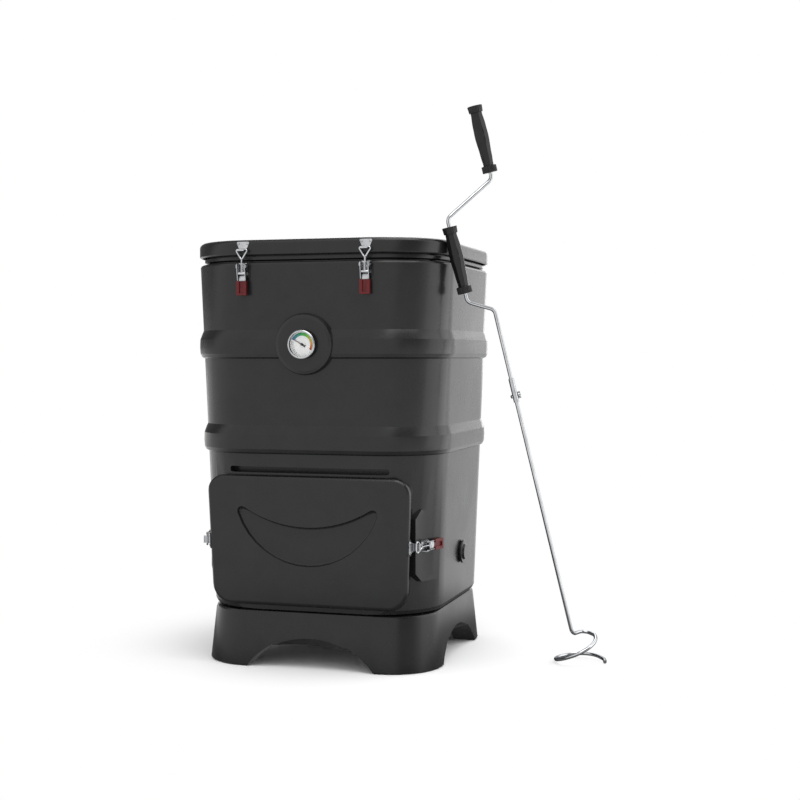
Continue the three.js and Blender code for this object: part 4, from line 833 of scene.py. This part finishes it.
crank_corners = [
    in_crank_plane(0, shaft_split),
    in_crank_plane(0, crank_heights["shaft"]),
    in_crank_plane(-lower_throw, crank_heights["low"]),
    in_crank_plane(-lower_throw, crank_heights["high"]),
    in_crank_plane(upper_throw, crank_heights["over"]),
    in_crank_plane(upper_throw, crank_heights["end"]),
]
crank = bent_rod("aerator_crank_rod", rounded_run(crank_corners, rod_bend, steps=rod_bend_steps))
put_in_service(crank, "aerator_crank", drawn_steel)
print("crank rod", round(rod_radius * 2 / mm, 1), "mm thick")

# %% [markdown]
# ## The auger
#
# The lower rod runs down the shaft, swings out and winds down a little more than one turn, like
# a corkscrew with a single wide coil. Turned into the heap it screws itself in, and pulled up it
# lifts and loosens. The last part of the coil flares and ends in a blunt cut tip.

# %% Auger rod
coil_radius = 45 * mm
coil_flare = 9 * mm
coil_flare_power = 7
coil_start, coil_pitch, coil_end = -24.5 * mm, 54 * mm, -84 * mm
coil_start_turn = math.radians(34)
coil_turns = 1.2
coil_steps = 60
coil_joins_at = 6
arm_drop = 17 * mm
arm_bend = 15 * mm
rod_end_gap = 0.6 * mm


def coil_point(share):
    """A point of the coil, from its top at 0 to its tip at 1."""
    swept = 2 * math.pi * coil_turns * share
    radius = coil_radius + coil_flare * share ** coil_flare_power
    height = max(coil_start - coil_pitch * swept / (2 * math.pi), coil_end)
    turn_now = coil_start_turn - swept
    return Vector((radius * math.cos(turn_now), radius * math.sin(turn_now), height))


coil = [coil_point(k / coil_steps) for k in range(coil_steps + 1)]
arm_corners = [
    in_crank_plane(0, shaft_split - rod_end_gap),
    in_crank_plane(0, -arm_drop),
    coil[0],
    coil[coil_joins_at],
]
arm = rounded_run(arm_corners, arm_bend, steps=rod_bend_steps)
auger = bent_rod("aerator_auger_rod", arm[:-1] + coil[coil_joins_at:])
put_in_service(auger, "aerator_auger", drawn_steel)
print("coil", round(coil_radius * 2 / mm), "mm across,", coil_turns, "turns")

# %% [markdown]
# ## Sleeve, bolt and wing nut
#
# A short steel sleeve joins the two rods, and a bolt with a wing nut clamps it, so that the tool
# comes apart for storing. These are stock parts with small rounded edges.

# %% Tool hardware
for node in ("aerator_sleeve", "aerator_bolt", "aerator_wing_nut"):
    finish_solid(node, sheet_steel, ease=0.2 * mm, sharp=40)
print("sleeve, bolt and wing nut")

# %% [markdown]
# ## The outline of a grip
#
# Each grip is a moulded sleeve that spins on the rod: a collar at each end and a swelling middle
# between two waists. The outline is written from the lower end to the upper one, with the collars'
# corners rounded. Its top is drawn back a little, because the solid leans and the finer mesh would
# otherwise stand above the solid's highest point.

# %% Grip outline
collar_radius = 15 * mm
waist_radius = 11 * mm
high_waist_radius = waist_radius * 1.1
bulge_radius = 15 * mm
collar_high = 14 * mm
collar_round = 1.2 * mm
collar_chamfer = collar_round * 0.3
grip_fit = 0.3 * mm
grip_bore = rod_radius + grip_fit
end_wall = 10 * mm
end_ease = 1.6 * mm
grip_top = grip_length - end_ease
swell_length = grip_length - 2 * collar_high - 2 * collar_round
swell_steps = 16
swell_stops = [
    (0, waist_radius), (0.2, waist_radius * 1.15), (0.55, bulge_radius),
    (0.75, bulge_radius * 0.95), (1, high_waist_radius),
]


def bulge_at(share):
    """Radius of the grip's middle, from the lower waist at 0 to the upper at 1."""
    for (low, first), (high, last) in zip(swell_stops, swell_stops[1:]):
        if share <= high:
            blend = (share - low) / (high - low)
            return first + (last - first) * (3 * blend ** 2 - 2 * blend ** 3)


def grip_outline():
    """The outside of a grip from its lower to its upper end, as (radius, height)."""
    collar = [
        (collar_radius - collar_round, 0),
        (collar_radius - collar_chamfer, collar_chamfer),
        (collar_radius, collar_round),
    ]
    collar_back = [(radius, collar_high - height) for radius, height in reversed(collar)]
    low_neck = [
        (waist_radius + collar_round, collar_high),
        (waist_radius, collar_high + collar_round),
    ]
    swell = [
        (bulge_at(k / swell_steps), collar_high + collar_round + swell_length * k / swell_steps)
        for k in range(1, swell_steps + 1)
    ]
    high_neck = [(high_waist_radius + collar_round, grip_top - collar_high)]
    high_collar = [(radius, grip_top - height) for radius, height in reversed(collar + collar_back)]
    return collar + collar_back + low_neck + swell + high_neck + high_collar


print("the outline has", len(grip_outline()), "points")

# %% [markdown]
# ## The two grips
#
# A wet hand holds the grip by eight lengthwise facets and by the collars' ribs. The lathe turns
# the outline, and then the points between the crests are pressed in towards the axis: those of the
# middle until they lie on the facets, and every other stripe of the collars by a little. The
# upper grip closes over the end of the rod.

# %% Grips
around_grip = 96
facets = 8
ribs = 24
rib_share = 0.95
grip_smooth = math.radians(24)
outside_bore = grip_bore * 1.5
collar_face = collar_radius * 0.98


def press_in(piece, chosen, depth_share):
    """Draws the chosen points of an upright grip towards its axis."""
    select_only(piece)
    bpy.ops.object.mode_set(mode="EDIT")
    bpy.ops.mesh.select_mode(type="VERT")
    bpy.ops.mesh.select_all(action="DESELECT")
    bpy.ops.object.mode_set(mode="OBJECT")
    for vertex in piece.data.vertices:
        vertex.select = chosen(vertex.co)
    bpy.ops.object.mode_set(mode="EDIT")
    bpy.ops.transform.resize(value=(depth_share, depth_share, 1), center_override=(0, 0, 0))
    bpy.ops.object.mode_set(mode="OBJECT")


def side_of(place):
    """Which of the grip's sides a point lies on."""
    return round(math.atan2(place.y, place.x) / (2 * math.pi) * around_grip) % around_grip


def on_middle(place):
    """Whether a point is on the outside between the collars."""
    return place.xy.length > outside_bore and collar_high < place.z < grip_length - collar_high


def on_collar(place):
    """Whether a point is on the outer round of a collar."""
    return place.xy.length > collar_face


def shape_grip(name, closed_top):
    """A faceted grip along +Z that starts at nothing and is bored for the rod."""
    outside = [(grip_bore, 0)] + grip_outline() + [(grip_bore, grip_top)]
    if closed_top:
        profile = [(grip_bore, grip_length - end_wall + grip_fit)] + outside
    else:
        profile = outside + [(grip_bore, 0)]
    grip = turned_piece(name, profile, around_grip)
    per_facet = around_grip // facets
    for k in range(1, per_facet):
        off_middle = math.pi / facets - 2 * math.pi * k / around_grip
        flat_share = math.cos(math.pi / facets) / math.cos(off_middle)
        press_in(grip, lambda p: on_middle(p) and side_of(p) % per_facet == k, flat_share)
    per_rib = around_grip // ribs
    press_in(grip, lambda p: on_collar(p) and side_of(p) % per_rib in (0, 1), rib_share)
    select_only(grip)
    bpy.ops.object.shade_smooth_by_angle(angle=grip_smooth)
    return grip


for name, start, across, closed in (
    ("lower_grip", lower_grip_start, -lower_throw, False),
    ("upper_grip", upper_grip_start, upper_throw, True),
):
    grip = shape_grip(f"aerator_{name}_moulding", closed)
    grip.data.transform(tool_place @ Matrix.Translation((across, 0, start)))
    put_in_service(grip, f"aerator_{name}", grip_plastic)
print("grip", round(grip_length / mm), "mm long with", facets, "facets")

# %% [markdown]
# ## The thermometer
#
# A dial thermometer screws through the front wall: a spun steel case with a rolled bezel, an
# enamelled dial, a needle on the stem of a coiled strip, and a glass pressed in behind the bezel.
# Its parts are fine already and only lack eased edges, which make the bezel's bright ring.

# %% Thermometer
finish_solid("thermometer_case", sheet_steel, ease=0.45 * mm, steps=3, sharp=20)
finish_solid("thermometer_dial", dial_print, ease=0.15 * mm)
finish_solid("thermometer_pointer", needle_paint, ease=0.12 * mm)
finish_solid("thermometer_lens", lens_glass, ease=0.3 * mm)
finish_solid("thermometer_stem", drawn_steel, ease=0.2 * mm)
finish_solid("thermometer_nut", sheet_steel, ease=0.3 * mm)
case_low, case_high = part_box("thermometer_case")
print("the case is", round((case_high.x - case_low.x) / mm, 1), "mm across")

# %% [markdown]
# ## The hinges
#
# Two butt hinges hold the lid at the back, each a pair of leaves rolled round a headed pin. The
# rolled knuckles are round already, and the sheet's cut edges are eased like the latches'.

# %% Hinges
for side in ("left", "right"):
    for part in ("body_leaf", "lid_leaf", "pin"):
        finish_solid(f"hinge_{side}_{part}", sheet_steel, ease=0.22 * mm, sharp=40)
print(len(made), "pieces stand for", len(nodes), "solids")

# %% [markdown]
# ## Floor
#
# A black satin bin has hardly any tone of its own: what is seen is mostly the studio, mirrored
# weakly at the front and strongly at its turning edges. So it stands in a white room. The floor
# is a wide sheet of paper, larger than anything that the camera can see.

# %% Floor
floor_width = 60
select_only()
bpy.ops.mesh.primitive_plane_add(size=floor_width, location=(bin_centre.x, bin_centre.y, 0))
floor = bpy.context.active_object
floor.name = "studio_floor"
bpy.ops.object.transform_apply(location=True)
floor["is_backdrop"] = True
print("the floor is", floor_width, "m wide")

# %% [markdown]
# ## The floor's paper
#
# Under the bin the paper is plain matt white, where it takes a soft shadow, and it turns into pure
# white further out, so no horizon shows. In the mirrors it is different: near a real bin the
# floor is shaded by the bin itself and reflects darker than the room, so for glossy rays a dim
# paper is mixed in close by. The bin's lower parts then stay as dark as they should be.

# %% Floor paper
paper_reach = (0.28, 0.62)
shade_reach = (0.5, 1.0)
shade_level = 0.15

paper = bpy.data.materials.new("studio_paper")
sheet = Board(paper)
sheet.tree.nodes.remove(sheet.tree.nodes["Principled BSDF"])
matt = sheet.add("ShaderNodeBsdfDiffuse", {"Color": tone("f4f4f4")})
glow = sheet.add("ShaderNodeEmission", {"Color": white(1), "Strength": 1.0})
shade = sheet.add("ShaderNodeEmission", {"Color": white(1), "Strength": shade_level})

from_bin = sheet.add("ShaderNodeMapping", {"Location": (-bin_centre.x, -bin_centre.y, 0)})
sheet.join(sheet.add("ShaderNodeTexCoord").outputs["Object"], from_bin.inputs["Vector"])
distance = sheet.add("ShaderNodeVectorMath", operation="LENGTH")
sheet.join(from_bin.outputs["Vector"], distance.inputs[0])


def fade_over(reach, start, end):
    """A value that turns smoothly from start to end while the distance crosses a reach."""
    limits = {"From Min": reach[0], "From Max": reach[1], "To Min": start, "To Max": end}
    return sheet.spread(distance.outputs["Value"], limits, interpolation_type="SMOOTHSTEP")


def mixed(share, first, second):
    """Two shaders mixed by a share of the second."""
    mix = sheet.add("ShaderNodeMixShader")
    for output, target in ((share, "Fac"), (first, 1), (second, 2)):
        sheet.join(output, mix.inputs[target])
    return mix.outputs["Shader"]


in_mirror = sheet.add("ShaderNodeMath", operation="MULTIPLY")
sheet.join(fade_over(shade_reach, 1, 0), in_mirror.inputs[0])
sheet.join(sheet.add("ShaderNodeLightPath").outputs["Is Glossy Ray"], in_mirror.inputs[1])
lit_paper = mixed(fade_over(paper_reach, 0, 1), matt.outputs["BSDF"], glow.outputs["Emission"])
seen_paper = mixed(in_mirror.outputs["Value"], lit_paper, shade.outputs["Emission"])
sheet.join(seen_paper, sheet.tree.nodes["Material Output"].inputs["Surface"])
floor.data.materials.append(paper)
print("the floor turns to plain paper between", paper_reach, "m")

# %% [markdown]
# ## The studio's cards
#
# The world is plain white to the camera and lights the bin evenly from all round, which gives its
# flat dark front. A photographer shapes a black satin thing by what it mirrors, and hangs white
# and black cards round it for that. Here the cards are a ramp of light round the compass that
# only mirrors see: bright behind the turning edges, which then show as pale lines, and dark
# where a face should stay deep. The compass starts in front of the bin and runs to the right.

# %% World
card_stops = [
    (-180, 2.4), (-162, 3.2), (-146, 0.15), (-90, 0.15), (-72, 1.0), (24, 1.0), (34, 0.2),
    (68, 0.2), (79, 1.05), (140, 0.75), (156, 0.75), (168, 1.3), (180, 2.4),
]
world = bpy.data.worlds.new("studio_world")
bpy.context.scene.world = world
sky = Board(world)
axes = sky.add("ShaderNodeSeparateXYZ")
sky.join(sky.add("ShaderNodeTexCoord").outputs["Generated"], axes.inputs["Vector"])
forwards = sky.add("ShaderNodeMath", {1: -1}, operation="MULTIPLY")
sky.join(axes.outputs["Y"], forwards.inputs[0])
way_round = sky.add("ShaderNodeMath", operation="ARCTAN2")
sky.join(axes.outputs["X"], way_round.inputs[0])
sky.join(forwards.outputs["Value"], way_round.inputs[1])
compass = sky.spread(way_round.outputs["Value"], {"From Min": -math.pi, "From Max": math.pi})
cards = sky.ramp(compass, [((degrees + 180) / 360, white(level)) for degrees, level in card_stops])

sky_mix = sky.add("ShaderNodeMix", {"A": white(1)}, data_type="RGBA")
sky.join(sky.add("ShaderNodeLightPath").outputs["Is Glossy Ray"], sky_mix.inputs["Factor"])
sky.join(cards, sky_mix.inputs["B"])
background = sky.tree.nodes["Background"]
sky.set(background, {"Strength": 1.0})
sky.join(sky_mix.outputs["Result"], background.inputs["Color"])
print(len(card_stops), "stops of light round the bin")

# %% [markdown]
# ## Lamps
#
# Even light alone leaves a bin without a form. One large lamp overhead lights the lid and lays the
# soft shadow on the floor, and a weaker one stands like a bright wall at the right and rolls a
# little light down the bin's side. Both are wide, so that no shadow of theirs has an edge.

# %% Lamps
def soft_box(name, place, aim, size, watts):
    """A lamp of a width and height that points from one place to another."""
    bpy.ops.object.light_add(type="AREA", location=place)
    lamp = bpy.context.active_object
    lamp.name = name
    lamp.data.shape = "RECTANGLE"
    lamp.data.size, lamp.data.size_y = size
    lamp.data.energy = watts
    lamp.rotation_euler = (Vector(aim) - Vector(place)).to_track_quat("-Z", "Y").to_euler()


def round_the_bin(degrees, distance, height):
    """A place at so many degrees to the right of the bin's front."""
    angle = math.radians(degrees)
    return (
        bin_centre.x + distance * math.sin(angle),
        bin_centre.y - distance * math.cos(angle),
        height,
    )


def on_bin_axis(height):
    """A place on the upright line through the bin's middle."""
    return round_the_bin(0, 0, height)


select_only()
wall_height = 1.4
wall_place = round_the_bin(112, 2.6, wall_height)
soft_box("right_wall", wall_place, on_bin_axis(wall_height), (3.1, 2.8), 26)
soft_box("top_lamp", round_the_bin(40, 1.2, 3.2), on_bin_axis(0.4), (2.4, 2.4), 44)
print("two soft boxes in a white room")

# %% [markdown]
# ## Sizes
#
# The finish is meant to leave the size of everything as it is. The box of the solids and that of
# the finished model are compared, and how far each side has grown is printed.

# %% Sizes
visual_box = [list(corner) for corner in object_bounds()]
growth = [after - before for before, after in zip(sum(solid_box, []), sum(visual_box, []))]
print("grown by", [round(length / mm, 2) for length in growth], "mm")
